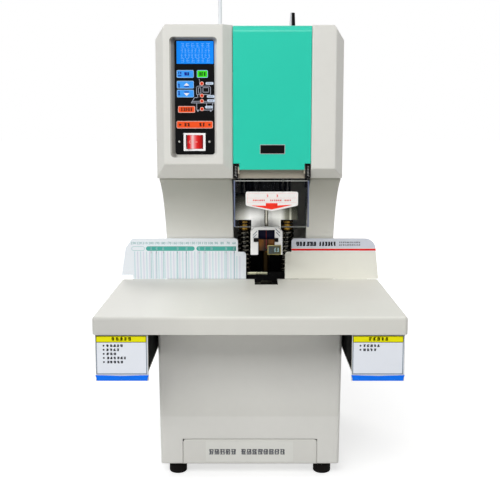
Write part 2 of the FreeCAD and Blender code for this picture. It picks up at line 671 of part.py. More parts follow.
def build_neck():
    """Neck casing: side walls and the curved front wall around the throat."""
    outer = neck_block("neck_outer", "0", ("neck_low", "head_bottom", "back_face"))
    inner = neck_block("neck_inner", "sheet",
                       ("neck_low - overshoot", "head_bottom + overshoot", "back_face + overshoot"))
    throat = box("throat", ("-throat_left", "throat_right"),
                 ("-soffit_front - overshoot", "neck_front + sheet + overshoot"),
                 ("neck_low - overshoot", "throat_top"))
    skirt = box("neck_skirt", around("0", "neck_half + overshoot"),
                ("neck_front - overshoot", "neck_front + sheet + fit"),
                ("neck_low - overshoot", "table_under + fit"))
    node(cut("neck_casing", outer, inner, throat, skirt))


def head_block(name, plan, front_view, side_view, spans):
    """Head-shaped block: the space shared by a plan, a front and a side outline."""
    x_span, y_span, z_span = spans
    return overlap(name, prism(name + "_plan", "Z", z_span, plan),
                   prism(name + "_front", "Y", y_span, front_view),
                   prism(name + "_side", "X", x_span, side_view))


def side_view(front, chin, inset):
    """Side outline of a head shell, or of its hollow when the inset isn't zero."""
    if inset == "0":
        return [(f"-{front} + chin_depth", "head_bottom"),
                (f"-{front}", f"head_bottom + {chin}"), (f"-{front}", "head_top"),
                ("back_face", "head_top"), ("back_face", "head_bottom")]
    step = "-soffit_front + soffit_overlap"
    return [(f"-{front} + chin_depth + {inset}", f"head_bottom + {inset}"),
            (f"-{front} + {inset}", f"head_bottom + {chin} + {inset}"),
            (f"-{front} + {inset}", f"head_top - {inset}"),
            ("back_face + overshoot", f"head_top - {inset}"),
            ("back_face + overshoot", "head_bottom - overshoot"),
            (step, "head_bottom - overshoot"), (step, f"head_bottom + {inset}")]


# Sign of X, front depth, chin height, inner edge, and whether the inner front edge is bevelled
SHELLS = {
    "left": ("-", "left_front", "left_chin", "cover_left", True),
    "right": ("", "right_front", "right_chin", "cover_right", False),
}


def head_side(side, inset):
    """One side of the head as a block, or its hollow when the inset isn't zero."""
    sign, front, chin, inner_edge, inner_bevel = SHELLS[side]
    hollow = inset != "0"
    grow = "overshoot" if hollow else "0"
    half = f"(neck_half - {inset})"
    bevel_x = f"({half} - bevel_width)"
    edge = f"({inner_edge} - {grow})"
    front_y = f"(-{front} + {inset})"
    back = f"(back_face + {grow})"
    plan = [(half, back), (half, f"{front_y} + bevel_depth"), (bevel_x, front_y)]
    if inner_bevel:
        plan += [(f"{inner_edge} + inner_bevel_width", front_y),
                 (edge, f"{front_y} + inner_bevel_depth")]
    else:
        plan += [(edge, front_y)]
    plan += [(edge, back)]
    low = f"(head_bottom - {grow})"
    top = f"(head_top - {inset})"
    front_view = [(edge, low), (half, low), (half, f"head_top - {inset} / 2 - top_chamfer_height"),
                  (f"{half} + {inset} / 2 - top_chamfer_width", top), (edge, top)]
    spans = (mirrored(sign, edge, f"{half} + overshoot"), (f"-{front} - overshoot", back),
             (low, top))
    name = f"{side}_{'hollow' if hollow else 'block'}"
    return head_block(name, signed(sign, plan), signed(sign, front_view),
                      side_view(front, chin, inset), spans)


def build_head_left():
    """Left head shell with the sloped recess of the control panel and the rivet tube's sleeve."""
    block = head_side("left", "0")
    hollow = head_side("left", "wall")
    floor = "panel_face"
    edge = "recess_rim + recess_slope"
    rim = box("recess_rim_block", (f"-panel_left - {edge}", "-panel_right + recess_slope + panel_lap"),
              ("-left_front + wall / 2", floor),
              (f"panel_low - {edge}", f"panel_high + {edge}"))
    well = doc.addObject("Part::Wedge", "recess_well")
    bind(well, {
        "Xmin": "-panel_left - recess_slope", "Xmax": "-panel_right + recess_steep",
        "Zmin": "panel_low - recess_steep", "Zmax": "panel_high + recess_steep",
        "Ymin": "-left_front", "Ymax": floor,
        "X2min": "-panel_left", "X2max": "-panel_right", "Z2min": "panel_low",
        "Z2max": "panel_high"})
    rounded = doc.addObject("Part::Fillet", "recess_rounded_well")
    rounded.Base = well
    doc.recompute()
    radius = number("recess_round")
    rounded.Edges = [(index, radius, radius) for index, edge in enumerate(well.Shape.Edges, start=1)
                     if edge.BoundBox.YLength > radius / 2]
    centre = ("-tube_x", "tube_y")
    sleeve = rod("sleeve", "sleeve_radius", centre, ("sleeve_low", "sleeve_top"))
    bore = rod("sleeve_hole", "sleeve_bore", centre,
               past(("sleeve_low", "sleeve_top")))
    shell = cut("left_shell", block, hollow)
    node(cut("head_shell_left", join("left_solid", shell, rim, sleeve), rounded, bore))


def build_head_right():
    """Right head shell."""
    block = head_side("right", "0")
    hollow = head_side("right", "wall")
    node(cut("head_shell_right", block, hollow))


# ---------------------------------------------------------------- green cover, lip, top and back
COVER_X = ("cover_low_x", "cover_high_x")


def build_cover():
    """Green front cover, hinged at the top rear edge."""
    outline = [("-cover_front", "cover_bottom"), ("-cover_front", "head_top"),
               ("cover_end", "head_top"), ("cover_end", "head_top - wall"),
               ("-cover_front + wall", "head_top - wall"), ("-cover_front + wall", "cover_bottom")]
    bent = prism("cover_sheet", "X", COVER_X, outline,
                 [("cover_bend", (1,)), ("cover_bend - wall", (4,))])
    notches = [box(f"cover_notch_{side}", x_span,
                   ("-cover_front - overshoot", "-cover_front + wall + overshoot"),
                   ("cover_bottom - overshoot", "cover_bottom + cover_notch"))
               for side, x_span in (
                   ("left", ("cover_low_x - overshoot", "cover_low_x + cover_notch")),
                   ("right", ("cover_high_x - cover_notch", "cover_high_x + overshoot")))]
    knuckle_x = ("cover_low_x + knuckle_length + fit", "cover_high_x - knuckle_length - fit")
    barrel = rod("cover_barrel", "barrel_radius", ("cover_axis_y", "barrel_z"), knuckle_x, "X")
    web = box("cover_web", knuckle_x, ("cover_end - overshoot", "cover_axis_y"),
              ("barrel_z - wall / 4", "barrel_z + wall / 4"))
    bore = rod("cover_bore", "hinge_pin + running", ("cover_axis_y", "barrel_z"), past(knuckle_x), "X")
    node(cut("green_cover", join("cover_solid", bent, barrel, web), bore, *notches))


def build_top_panel():
    """Grey panel behind the cover, with its hinge knuckles and the clearing pin's socket."""
    x_span = ("-cover_left + fit", "cover_right - fit")
    plate = box("panel_plate", x_span, ("top_panel_front", "back_face"),
                ("head_top - wall", "head_top"))
    pieces = [plate]
    spans = {"left": (COVER_X[0], "cover_low_x + knuckle_length"),
             "right": ("cover_high_x - knuckle_length", COVER_X[1])}
    for side, span in spans.items():
        pieces.append(rod(f"{side}_knuckle", "barrel_radius", ("cover_axis_y", "barrel_z"), span, "X"))
        pieces.append(box(f"{side}_web", span, ("cover_axis_y", "top_panel_front + overshoot"),
                          ("barrel_z - wall / 4", "barrel_z + wall / 4")))
    centre = ("pin_x", "pin_y")
    pieces.append(rod("socket", "socket_radius", centre,
                      ("socket_low", "socket_top")))
    hole = rod("socket_hole", "needle_radius + needle_clear", centre,
               past(("socket_low", "socket_top")))
    bore = rod("panel_bore", "hinge_pin + running", ("cover_axis_y", "barrel_z"), past(COVER_X), "X")
    node(cut("top_rear_panel", join("panel_solid", *pieces), hole, bore))


def build_lip():
    """Grey lip below the cover, which closes the head between the shells and carries the guard."""
    x_span = ("lip_low_x", "lip_high_x")
    wide = ("-cover_left + fit", "cover_right - fit")
    front = box("lip_front_plate", x_span, ("-lip_front", "-lip_front + sheet"),
                ("head_bottom", "head_bottom + lip_height"))
    narrow = box("lip_narrow", x_span, ("-lip_front", "-lip_soffit_front"),
                 ("head_bottom", "head_bottom + sheet"))
    soffit = box("lip_soffit", wide, ("-lip_soffit_front", "-soffit_front + soffit_overlap"),
                 ("head_bottom", "head_bottom + sheet"))
    pieces = [front, narrow, soffit]
    bores = []
    ear_z = around("guard_axis_height", "ear_height / 2")
    for side, span in (("left", (x_span[0], f"{x_span[0]} + sheet")),
                       ("right", (f"{x_span[1]} - sheet", x_span[1]))):
        pieces.append(box(f"{side}_ear", span, ("-guard_axis_front - ear_height / 2",
                                                "-lip_front + overshoot"), ear_z))
        bores.append(rod(f"{side}_ear_bore", "guard_pin + running",
                         ("-guard_axis_front", "guard_axis_height"), past(span), "X"))
    node(cut("center_lip", join("lip_solid", *pieces), *bores))


def build_back():
    """Back cover with its vents, its screws and the power inlet."""
    half = "(neck_half - back_margin)"
    sheet_y = ("back_face", "casing_back")
    lower = box("back_lower", around("0", half), sheet_y, ("back_low", "back_high"))
    upper = box("back_upper", around("0", f"({half} - top_chamfer_width)"), sheet_y,
                ("back_high - overshoot", "head_top - back_gap"))
    plate = join("back_plate", lower, upper)
    tools = []
    through = ("back_face - overshoot", "casing_back + overshoot")
    for side, sign in SIDES:
        for index in range(SIZES["vent_count"]):
            low = f"vent_low + {index} * vent_pitch"
            tools.append(box(f"{side}vent_{index}",
                             around(f"{sign}vent_x", "vent_length / 2"), through,
                             (low, f"{low} + vent_height")))
    screws = []
    for side, sign in SIDES:
        for index in range(4):
            centre = (f"{sign}screw_x", f"screw_low + {index} * screw_step")
            tools.append(rod(f"{side}screw_hole_{index}", "screw_shank + running", centre, through,
                             "Y"))
            head = rod(f"{side}screw_head_{index}", "screw_radius", centre,
                       ("casing_back", "casing_back + screw_head"), "Y")
            shank = rod(f"{side}screw_shank_{index}", "screw_shank", centre,
                        ("casing_back - screw_length", "casing_back"), "Y")
            screws.append(join(f"{side}screw_{index}", head, shank))
    tools.append(box("inlet_hole", around("inlet_x", "inlet_width / 2 + fit"), through,
                     around("inlet_z", "inlet_height / 2 + fit")))
    node(cut("back_cover", plate, *tools))
    node(group("cover_screws", *screws))

    body = box("inlet_body", around("inlet_x", "inlet_width / 2"),
               ("casing_back - inlet_depth", "casing_back + inlet_proud"),
               around("inlet_z", "inlet_height / 2"))
    flange = box("inlet_rim", around("inlet_x", "inlet_width / 2 + inlet_flange"),
                 ("casing_back", "casing_back + inlet_proud"),
                 around("inlet_z", "inlet_height / 2 + inlet_wall"))
    mouth = box("inlet_mouth", around("inlet_x", "inlet_width / 2 - inlet_wall"),
                ("casing_back + inlet_proud - inlet_well", "casing_back + inlet_proud + overshoot"),
                around("inlet_z", "inlet_height / 2 - inlet_wall"))
    socket = cut("inlet_socket", join("inlet_block", body, flange), mouth)
    pins = [box(f"inlet_pin_{name}", around(f"inlet_x + {shift}", "inlet_pin / 2"),
                ("casing_back - inlet_well", "casing_back - inlet_pin"),
                around(f"inlet_z + {rise}", "inlet_pin"))
            for name, shift, rise in (("live", "inlet_width / 4", "0 - inlet_pin"),
                                      ("neutral", "0 - inlet_width / 4", "0 - inlet_pin"),
                                      ("earth", "0", "inlet_pin"))]
    node(join("power_inlet", socket, *pins))


# ---------------------------------------------------------------- control panel
KEYS = {
    "key_menu": ("key_left", "wide_key", "menu_low", "key_height"),
    "key_start": ("start_left", "narrow_key", "menu_low", "key_height"),
    "key_up": ("key_left", "wide_key", "up_low", "key_height"),
    "key_down": ("key_left", "wide_key", "down_low", "key_height"),
    "key_stop": ("stop_left", "wide_key", "stop_low", "stop_height"),
}
LED_DROPS = ("led_drop_a", "led_drop_b", "led_drop_c", "led_drop_d")


def key_block(name, x_span, z_span, y_span, inset):
    """Upright block with rounded corners, for a key or for its hole in the panel."""
    left, right = f"{x_span[0]} + {inset}", f"{x_span[1]} - {inset}"
    low, high = f"{z_span[0]} + {inset}", f"{z_span[1]} - {inset}"
    outline = [(left, low), (right, low), (right, high), (left, high)]
    return prism(name, "Y", y_span, outline, [(f"key_round - {inset}", (0, 1, 2, 3))])


def build_panel():
    """Control panel, its screen, lamps, keys and circuit board."""
    plate = box("panel_sheet", ("-panel_left - panel_lap", "-panel_right + panel_lap"),
                ("panel_face", "panel_back"), ("panel_low - panel_lap", "panel_high + panel_lap"))
    through = ("panel_face - overshoot", "panel_back + overshoot")
    holes = []
    for name, (left, width, low, height) in KEYS.items():
        x_span = (f"-{left}", f"-{left} + {width}")
        z_span = (low, f"{low} + {height}")
        holes.append(key_block(f"{name}_hole", x_span, z_span, through, "0"))
        cap = key_block(f"{name}_cap", x_span, z_span,
                        ("panel_face - key_proud", "panel_back + key_clear"), "key_clear")
        flange = box(f"{name}_flange", (f"{x_span[0]} - key_clear * 3", f"{x_span[1]} + key_clear * 3"),
                     ("panel_back + key_clear", "board_face - key_travel - key_clear"),
                     (f"{z_span[0]} - key_clear", f"{z_span[1]} + key_clear"))
        node(join(name, cap, flange))
    holes.append(box("switch_hole", around("-switch_x", "switch_body_width / 2 + fit"), through,
                     around("switch_z", "switch_body_height / 2 + fit")))
    node(cut("control_panel", plate, *holes))

    node(box("lcd_screen", ("-lcd_left", "-lcd_left + lcd_width"),
             ("panel_face - lcd_proud", "panel_face"), ("lcd_low", "lcd_low + lcd_height")))
    lamps = [rod(f"lamp_{index}", "led_radius", ("-led_x", f"panel_high - {drop}"),
                 ("panel_face - led_proud", "panel_face"), "Y")
             for index, drop in enumerate(LED_DROPS)]
    node(group("panel_leds", *lamps))
    board = box("board_sheet_block", ("-panel_left", "-panel_right"),
                ("board_face", "board_face + board_sheet"), ("board_low", "panel_high"))
    standoffs = [rod(f"standoff_{index}", "standoff_radius", (across, up),
                     ("panel_back", "board_face"), "Y")
                 for index, (across, up) in enumerate(
                     (across, up)
                     for across in ("standoff_inset - panel_left", "-panel_right - standoff_inset")
                     for up in ("board_low + standoff_inset", "panel_high - standoff_inset"))]
    node(join("control_board", board, *standoffs))


def build_rocker():
    """Main switch: a snap-in frame and a button that rocks about an upright axis."""
    width = "(button_width / 2 + button_side_clear)"
    height = "(button_height / 2 + button_end_clear)"
    front = "(panel_face - bezel_proud)"
    bezel = box("bezel", around("-switch_x", "bezel_width / 2"), (front, "panel_face"),
                around("switch_z", "bezel_height / 2"))
    body = box("switch_body", around("-switch_x", "switch_body_width / 2"),
               ("panel_face", "panel_face + switch_depth"),
               around("switch_z", "switch_body_height / 2"))
    well = box("switch_well", around("-switch_x", width),
               (f"{front} - overshoot", "panel_face + switch_depth - wall"),
               around("switch_z", height))
    centre = ("-switch_x", "rocker_axis_y")
    holes = rod("rocker_holes", "rocker_pin + running", centre,
                around("switch_z", "button_height / 2 + rocker_pin_reach + running"))
    node(cut("rocker_frame", join("switch_solid", bezel, body), well, holes))

    half = "(button_width / 2)"

    def turned(across, depth):
        """Corner of the button's plan, tilted to the side that is pressed in."""
        return (f"-switch_x + ({across}) * cos(rocker_tilt) - ({depth}) * sin(rocker_tilt)",
                f"{centre[1]} + ({across}) * sin(rocker_tilt) + ({depth}) * cos(rocker_tilt)")

    plan = [turned(f"-{half}", "-button_rise"), turned("0", "-button_valley"),
            turned(half, "-button_rise"), turned(f"{half} - button_taper", "button_heel"),
            turned(f"button_taper - {half}", "button_heel")]
    cap = prism("rocker_cap", "Z", around("switch_z", "button_height / 2"), plan)
    pin = rod("rocker_trunnion", "rocker_pin", centre,
              around("switch_z", "button_height / 2 + rocker_pin_reach"))
    node(join("rocker_button", cap, pin))


# ---------------------------------------------------------------- guard
def build_guard():
    """Clear guard in front of the throat, with its arms, sign and all the hinge pins."""
    left = "guard_left"
    right = "guard_right"
    rear = "(guard_depth - guard_front)"
    outline = [(left, "-guard_front"), (right, "-guard_front"), (right, rear),
               (f"{right} - guard_wall", rear), (f"{right} - guard_wall", "-guard_front + guard_wall"),
               (f"{left} + guard_wall", "-guard_front + guard_wall"), (f"{left} + guard_wall", rear),
               (left, rear)]
    node(prism("guard_shield", "Z", ("guard_low", "guard_high"), outline))

    axis_y = "(-guard_axis_front)"
    axis_z = "guard_axis_height"
    nose = f"({axis_y} - arm_width / 2)"
    heel = f"({axis_y} + arm_width / 2)"
    hang_front = "(-guard_front + guard_wall + fit)"
    profile = [(nose, f"{axis_z} + arm_width / 2"), (heel, f"{axis_z} + arm_width / 2"),
               (heel, f"{axis_z} - arm_width / 2"), (f"{hang_front} + arm_width", "guard_high"),
               (f"{hang_front} + arm_width", f"{axis_z} - arm_drop"),
               (hang_front, f"{axis_z} - arm_drop"), (hang_front, "guard_high + overshoot"),
               (nose, f"{axis_z} - arm_width / 2")]
    arms = []
    pins = []
    outer_left = "(cover_low_x + fit)"
    outer_right = "(cover_high_x - fit)"
    spans = {"left": ((f"{left} + guard_wall", f"{left} + guard_wall + arm_thick"),
                      (outer_left, f"{left} + guard_wall + arm_thick"),
                      (outer_left, "lip_low_x + sheet")),
             "right": ((f"{right} - guard_wall - arm_thick", f"{right} - guard_wall"),
                       (f"{right} - guard_wall - arm_thick", outer_right),
                       ("lip_high_x - sheet", outer_right))}
    for side, (arm_x, hub_x, pin_x) in spans.items():
        blade = prism(f"{side}_arm_blade", "X", arm_x, profile)
        hub_outline = [(hub_x[0], "head_bottom"), (hub_x[1], "head_bottom"),
                       (hub_x[1], f"{axis_z} + hub_rise"), (hub_x[0], f"{axis_z} + hub_rise")]
        hub = prism(f"{side}_arm_hub", "Y", (nose, heel), hub_outline, [("hub_round", (2, 3))])
        eye = rod(f"{side}_arm_eye", "guard_pin + running", (axis_y, axis_z), past(hub_x), "X")
        arms.append(cut(f"{side}_arm", join(f"{side}_arm_solid", blade, hub), eye))
        pins.append(rod(f"{side}_guard_pin", "guard_pin", (axis_y, axis_z), pin_x, "X"))
    node(group("guard_arms", *arms))
    pins.append(rod("cover_pin", "hinge_pin", ("cover_axis_y", "barrel_z"), COVER_X, "X"))
    node(group("hinge_pins", *pins))

    sign_half = "(sign_width / 2)"
    outline = [(f"sign_x - {sign_half}", "sign_low"), ("sign_x", "sign_low - sign_point"),
               (f"sign_x + {sign_half}", "sign_low"), (f"sign_x + {sign_half}", "sign_high"),
               (f"sign_x - {sign_half}", "sign_high")]
    node(prism("pointer_sign", "Y", ("-guard_front - sign_sheet", "-guard_front"), outline,
               [("sign_corner", (0, 2, 3, 4))]))


# ---------------------------------------------------------------- press frame and lift
COLUMNS = (("left", "work_x - column_x"), ("right", "work_x + column_x"))


def build_frame():
    """Uprights, bed, crown and guide columns of the press."""
    low = "(foot_height + sheet)"
    uprights = [
        box("stand_left", ("work_x - frame_half", "work_x - frame_half + stand_sheet"),
            ("stand_front", "frame_rear"), (low, "bed_low")),
        box("stand_right", ("work_x + frame_half - stand_sheet", "work_x + frame_half"),
            ("stand_front", "frame_rear"), (low, "bed_low")),
        box("spine", around("work_x", "spine_half"), ("frame_rear - spine_sheet", "frame_rear"),
            ("bed_top", "crown_bottom"))]
    node(group("frame_uprights", *uprights))

    bed = box("bed_block", around("work_x", "frame_half"), ("bed_front", "frame_rear"),
              ("bed_low", "bed_top"))
    seat = rod("bed_seat", "journal + running", ("work_x", "column_y"),
               ("bed_top - journal_depth - fit", "bed_top + overshoot"))
    node(cut("frame_bed", bed, seat))

    crown = box("crown_block", around("work_x", "frame_half"), ("crown_front", "frame_rear"),
                ("crown_bottom", "crown_top"))
    posts = [rod(f"{side}crown_post_{place}", "post_radius", (f"work_x {sign or '+'} post_x", depth),
                 ("crown_top", "head_top - wall"))
             for side, sign in SIDES
             for place, depth in (("front", "post_front"), ("rear", "post_rear"))]
    bore = rod("crown_bore", "journal + running", ("work_x", "column_y"),
               ("crown_bottom - overshoot", "crown_top + overshoot"))
    node(cut("frame_crown", join("crown_solid", crown, *posts), bore))

    node(group("guide_columns",
               *[rod(f"{side}_column", "column_radius", (across, "column_y"),
                     ("bed_top", "crown_bottom")) for side, across in COLUMNS]))
    node(group("column_springs",
               *[coil(f"{side}_coil", (across, "column_y"), "coil_radius", "coil_wire",
                      "coil_turns", ("bed_top", "collar_low"))
                 for side, across in COLUMNS]))


def build_lift():
    """Lift screw between the bed and the crown, with its motor on the crown."""
    centre = ("work_x", "column_y")
    thread = rod("screw_thread", "screw_rod", centre, ("bed_top + fit", "crown_bottom - fit"))
    journals = rod("screw_journals", "journal", centre,
                   ("bed_top - journal_depth", "crown_top + journal_top"))
    node(join("lift_screw", thread, journals))
    motor = rod("lift_motor_body", "lift_motor_radius", centre,
                ("crown_top", "crown_top + lift_motor_height"))
    bore = rod("lift_motor_bore", "journal + running", centre,
               ("crown_top - overshoot", "crown_top + journal_top + fit"))
    node(cut("lift_motor", motor, bore))


# ---------------------------------------------------------------- crosshead
def build_crosshead():
    """Crosshead casting, which slides on the columns, and its brass bushes and nut."""
    block = box("head_block", around("work_x", "head_half"), ("head_front", "head_rear"),
                ("head_low", "crosshead_top"))
    tongue = box("head_tongue", around("work_x", "tongue_half"),
                 ("head_front", "head_front + tongue_depth"), ("tongue_low", "head_low"))
    shelf = box("head_shelf", around("work_x", "shelf_half"), ("head_rear", "shelf_rear"),
                ("crosshead_top - shelf_sheet", "crosshead_top"))
    through = ("head_low - overshoot", "crosshead_top + overshoot")
    tools = [box("head_groove", around("work_x", "groove_half"),
                 ("head_front - overshoot", "head_front + groove_depth"),
                 ("tongue_low - overshoot", "crosshead_top + overshoot")),
             rod("nut_hole", "nut_radius + running", ("work_x", "column_y"), through)]
    bushes = []
    for side, across in COLUMNS:
        centre = (across, "column_y")
        tools.append(rod(f"{side}_bush_hole", "bush_radius + running", centre, through))
        collar = rod(f"{side}_collar", "collar_radius", centre,
                     ("collar_low", "head_low"))
        sleeve = rod(f"{side}_sleeve", "bush_radius", centre, ("head_low", "crosshead_top"))
        bore = rod(f"{side}_bush_bore", "column_radius + running", centre,
                   ("collar_low - overshoot", "crosshead_top + overshoot"))
        bushes.append(cut(f"{side}_bush", join(f"{side}_bush_solid", collar, sleeve), bore))
    node(cut("crosshead", join("head_solid", block, tongue, shelf), *tools))
    nut = ring("screw_nut", "nut_radius", "screw_rod + running", ("work_x", "column_y"),
               ("head_low - nut_drop", "crosshead_top"))
    node(group("crosshead_bushes", *bushes, nut))


def build_spindle():
    """Spindle housing, bearings, spindle, hollow drill, drill motor and belt."""
    centre = ("work_x", "spindle_y")
    barrel = rod("housing_barrel", "housing_radius", centre, ("housing_bottom", "housing_top"))
    bracket = box("housing_bracket", around("work_x", "bracket_half"), ("spindle_y", "bracket_rear"),
                  ("crosshead_top", "bracket_top"))
    pieces = [barrel, bracket]
    for side, span in (("left", ("work_x - bracket_half", "work_x - bracket_half + cheek")),
                       ("right", ("work_x + bracket_half - cheek", "work_x + bracket_half"))):
        pieces.append(box(f"{side}_cheek", span, ("slot_front", "bracket_rear"),
                          ("bracket_top", "cap_bottom")))
    pieces.append(box("spring_cap", around("work_x", "bracket_half"), ("slot_front", "bracket_rear"),
                      ("cap_bottom", "cap_bottom + cap_sheet")))
    slot = box("bracket_slot", around("work_x", "slot_half"), ("slot_front", "slot_rear"),
               ("crosshead_top - overshoot", "bracket_top + overshoot"))
    bore = rod("housing_hole", "housing_bore", centre,
               ("crosshead_top - overshoot", "housing_top + overshoot"))
    chin = box("bracket_chin", around("work_x", "bracket_half + overshoot"),
               ("spindle_y - overshoot", "slot_front - fit"), ("crosshead_top - overshoot",
                                                               "housing_bottom"))
    node(cut("spindle_housing", join("housing_solid", *pieces), slot, bore, chin))

    low_seat = "(housing_bottom + bearing_seat)"
    high_seat = "(housing_top - bearing_seat - bearing_height)"
    node(group("spindle_bearings",
               *[ring(f"{name}_bearing", "housing_bore - running", "spindle_radius + running",
                      centre, (low, f"{low} + bearing_height"))
                 for name, low in (("lower", low_seat), ("upper", high_seat))]))

    chuck = rod("chuck", "chuck_radius", centre, ("chuck_bottom", "chuck_top"))
    shaft = rod("spindle_shaft", "spindle_radius", centre, ("chuck_top", "spindle_top"))
    pulley = rod("spindle_wheel", "spindle_pulley", centre,
                 ("pulley_low", "pulley_top"))
    socket = rod("chuck_socket", "drill_radius + running", centre,
                 ("chuck_bottom - overshoot", "chuck_top"))
    node(cut("drill_spindle", join("spindle_solid", chuck, shaft, pulley), socket))
    node(ring("drill_bit", "drill_radius", "drill_bore", centre, ("drill_tip", "chuck_top")))

    motor_centre = ("work_x", "motor_y")
    motor = rod("motor_can", "motor_radius", motor_centre, ("crosshead_top", "motor_top"))
    motor_bore = rod("motor_hole", "motor_shaft + running", motor_centre,
                     ("motor_top - motor_shaft_depth - fit", "motor_top + overshoot"))
    node(cut("drill_motor", motor, motor_bore))
    wheel = rod("motor_wheel", "motor_pulley", motor_centre,
                ("pulley_low", "pulley_top"))
    axle = rod("motor_axle", "motor_shaft", motor_centre,
               ("motor_top - motor_shaft_depth", "pulley_top"))
    node(join("motor_pulley", wheel, axle))
    build_belt()


def belt_loop(radius_front, radius_rear, low, high):
    """Solid inside a loop laid round two circles by their outer tangents."""
    centre_x = number("work_x")
    front_y = number("spindle_y")
    rear_y = number("motor_y")
    lean = math.asin((radius_front - radius_rear) / (rear_y - front_y))
    side_x = math.cos(lean)
    side_y = math.sin(lean)
    corners = [FreeCAD.Vector(centre_x + turn * radius * side_x, middle + radius * side_y, low)
               for turn, radius, middle in ((-1, radius_front, front_y), (-1, radius_rear, rear_y),
                                            (1, radius_rear, rear_y), (1, radius_front, front_y))]
    front_tip = FreeCAD.Vector(centre_x, front_y - radius_front, low)
    rear_tip = FreeCAD.Vector(centre_x, rear_y + radius_rear, low)
    edges = [Part.LineSegment(corners[0], corners[1]).toShape(),
             Part.Arc(corners[1], rear_tip, corners[2]).toShape(),
             Part.LineSegment(corners[2], corners[3]).toShape(),
             Part.Arc(corners[3], front_tip, corners[0]).toShape()]
    return Part.Face(Part.Wire(edges)).extrude(FreeCAD.Vector(0, 0, high - low))


def build_belt():
    """Drive belt round the motor pulley and the spindle pulley."""
    low = number("pulley_low + (pulley_height - belt_width) / 2")
    high = low + number("belt_width")
    gap = number("belt_gap")
    thick = number("belt_sheet")
    front = number("spindle_pulley") + gap
    rear = number("motor_pulley") + gap
    belt = doc.addObject("Part::Feature", "drill_belt")
    belt.Shape = belt_loop(front + thick, rear + thick, low, high).cut(
        belt_loop(front, rear, low, high))
    node(belt)


# ---------------------------------------------------------------- press foot
def build_press():
    """Sprung press foot: white yoke, drill guide, steel stem and its spring."""
    left = "(work_x - yoke_half)"
    right = "(work_x + yoke_half)"
    high = "yoke_high"
    lintel = "window_high"
    outline = [(left, "yoke_low"), (left, f"{high} - yoke_bevel"), (f"{left} + yoke_bevel", high),
               (f"{right} - yoke_bevel", high), (right, f"{high} - yoke_bevel"),
               (right, "yoke_low"), ("work_x + window_half", "yoke_low"),
               ("work_x + window_half", lintel), ("work_x - window_half", lintel),
               ("work_x - window_half", "yoke_low")]
    node(prism("press_yoke", "Y", ("yoke_front", "yoke_front + yoke_depth"), outline))

    guide_z = ("guide_low", "guide_high")
    block = box("guide_block", around("work_x", "window_half"), ("guide_front", "guide_rear"),
                guide_z)
    bore = rod("guide_hole", "guide_bore", ("work_x", "spindle_y"), past(guide_z))
    node(cut("drill_guide", block, bore))

    arm = box("stem_arm", around("work_x", "stem_half"), ("guide_rear", "stem_front"), guide_z)
    bar = box("stem_bar", around("work_x", "stem_half"),
              ("stem_front", "stem_front + stem_depth"), ("guide_low", "stem_top"))
    node(join("press_stem", arm, bar))
    node(coil("press_spring", ("work_x", "stem_front + stem_depth / 2"), "press_coil",
              "press_wire", "press_turns", ("stem_top", "cap_bottom")))


def build_anvil():
    """Anvil block in the table's notch, its nylon drill pad and the steel back stop."""
    centre = ("work_x", "spindle_y")
    block = box("anvil_solid", around("work_x", "anvil_half"), ("bed_front", "anvil_rear"),
                ("bed_top", "anvil_top"))
    seat = rod("anvil_seat", "pad_radius + running", centre, ("pad_low", "anvil_top + overshoot"))
    node(cut("anvil_block", block, seat))
    node(rod("drill_pad", "pad_radius", centre, ("pad_low", "table_height")))
    node(box("back_stop", ("-backstop_left", "right_guide_inner"),
             ("backstop_front", "backstop_front + backstop_sheet"), ("bed_top", "backstop_top")))


# ---------------------------------------------------------------- rivet tube and clearing pin
def build_top_pieces():
    """Nylon rivet tube in the left shell's sleeve and the clearing pin in its socket."""
    node(ring("nylon_tube", "tube_radius", "tube_bore", ("-tube_x", "tube_y"),
              ("tube_low", "tube_top")))
    grip = doc.addObject("Part::Cone", "pin_grip")
    bind(grip, {"Radius1": "grip_low_radius", "Radius2": "grip_top_radius",
                "Height": "grip_height", "Placement.Base.x": "pin_x",
                "Placement.Base.y": "pin_y", "Placement.Base.z": "socket_top"})
    needle = rod("pin_needle", "needle_radius", ("pin_x", "pin_y"), ("needle_low", "socket_top"))
    node(join("clearing_pin", grip, needle))


# ---------------------------------------------------------------- build, check and write
def check():
    """Stop on any failed feature, and on any empty or invalid sub-part."""
    for item in doc.Objects:
        bad = {"Invalid", "Error"} & set(item.State)
        if bad:
            raise RuntimeError(f"{item.Name} failed: {item.State}")
    for piece in nodes:
        if piece.Shape.isNull() or not piece.Shape.isValid() or not piece.Shape.Solids:
            raise RuntimeError(f"{piece.Label} has no valid solid")


def main():
    """Build every sub-part and write one STEP file for each."""
    for build in (build_base, build_chip_drawer, build_table, build_guides, build_tool_boxes,
                  build_neck, build_head_left, build_head_right, build_cover, build_top_panel,
                  build_lip, build_back, build_panel, build_rocker, build_guard, build_frame,
                  build_lift, build_crosshead, build_spindle, build_press, build_anvil,
                  build_top_pieces):
        build()
    doc.removeObject("Probe")
    doc.recompute()
    check()
    os.makedirs("parts", exist_ok=True)
    for piece in nodes:
        piece.Shape.exportStep(f"parts/{piece.Label}.step")
        solids = len(piece.Shape.Solids)
        print(f"{piece.Label}: {solids} solid(s), {piece.Shape.Volume / 1000:.1f} cm3")


main()
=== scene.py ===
"""Looks of a desk press that drills and rivets stacks of paper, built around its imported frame.

Sizes are in millimetres, in the frame's axes: X to the right, Y to the back and Z up.
"""

import json
import logging
import math
import random
from collections.abc import Sequence
from dataclasses import dataclass, field
from enum import Enum

import bmesh
import bpy
from mathutils import Matrix, Vector
from mathutils.bvhtree import BVHTree

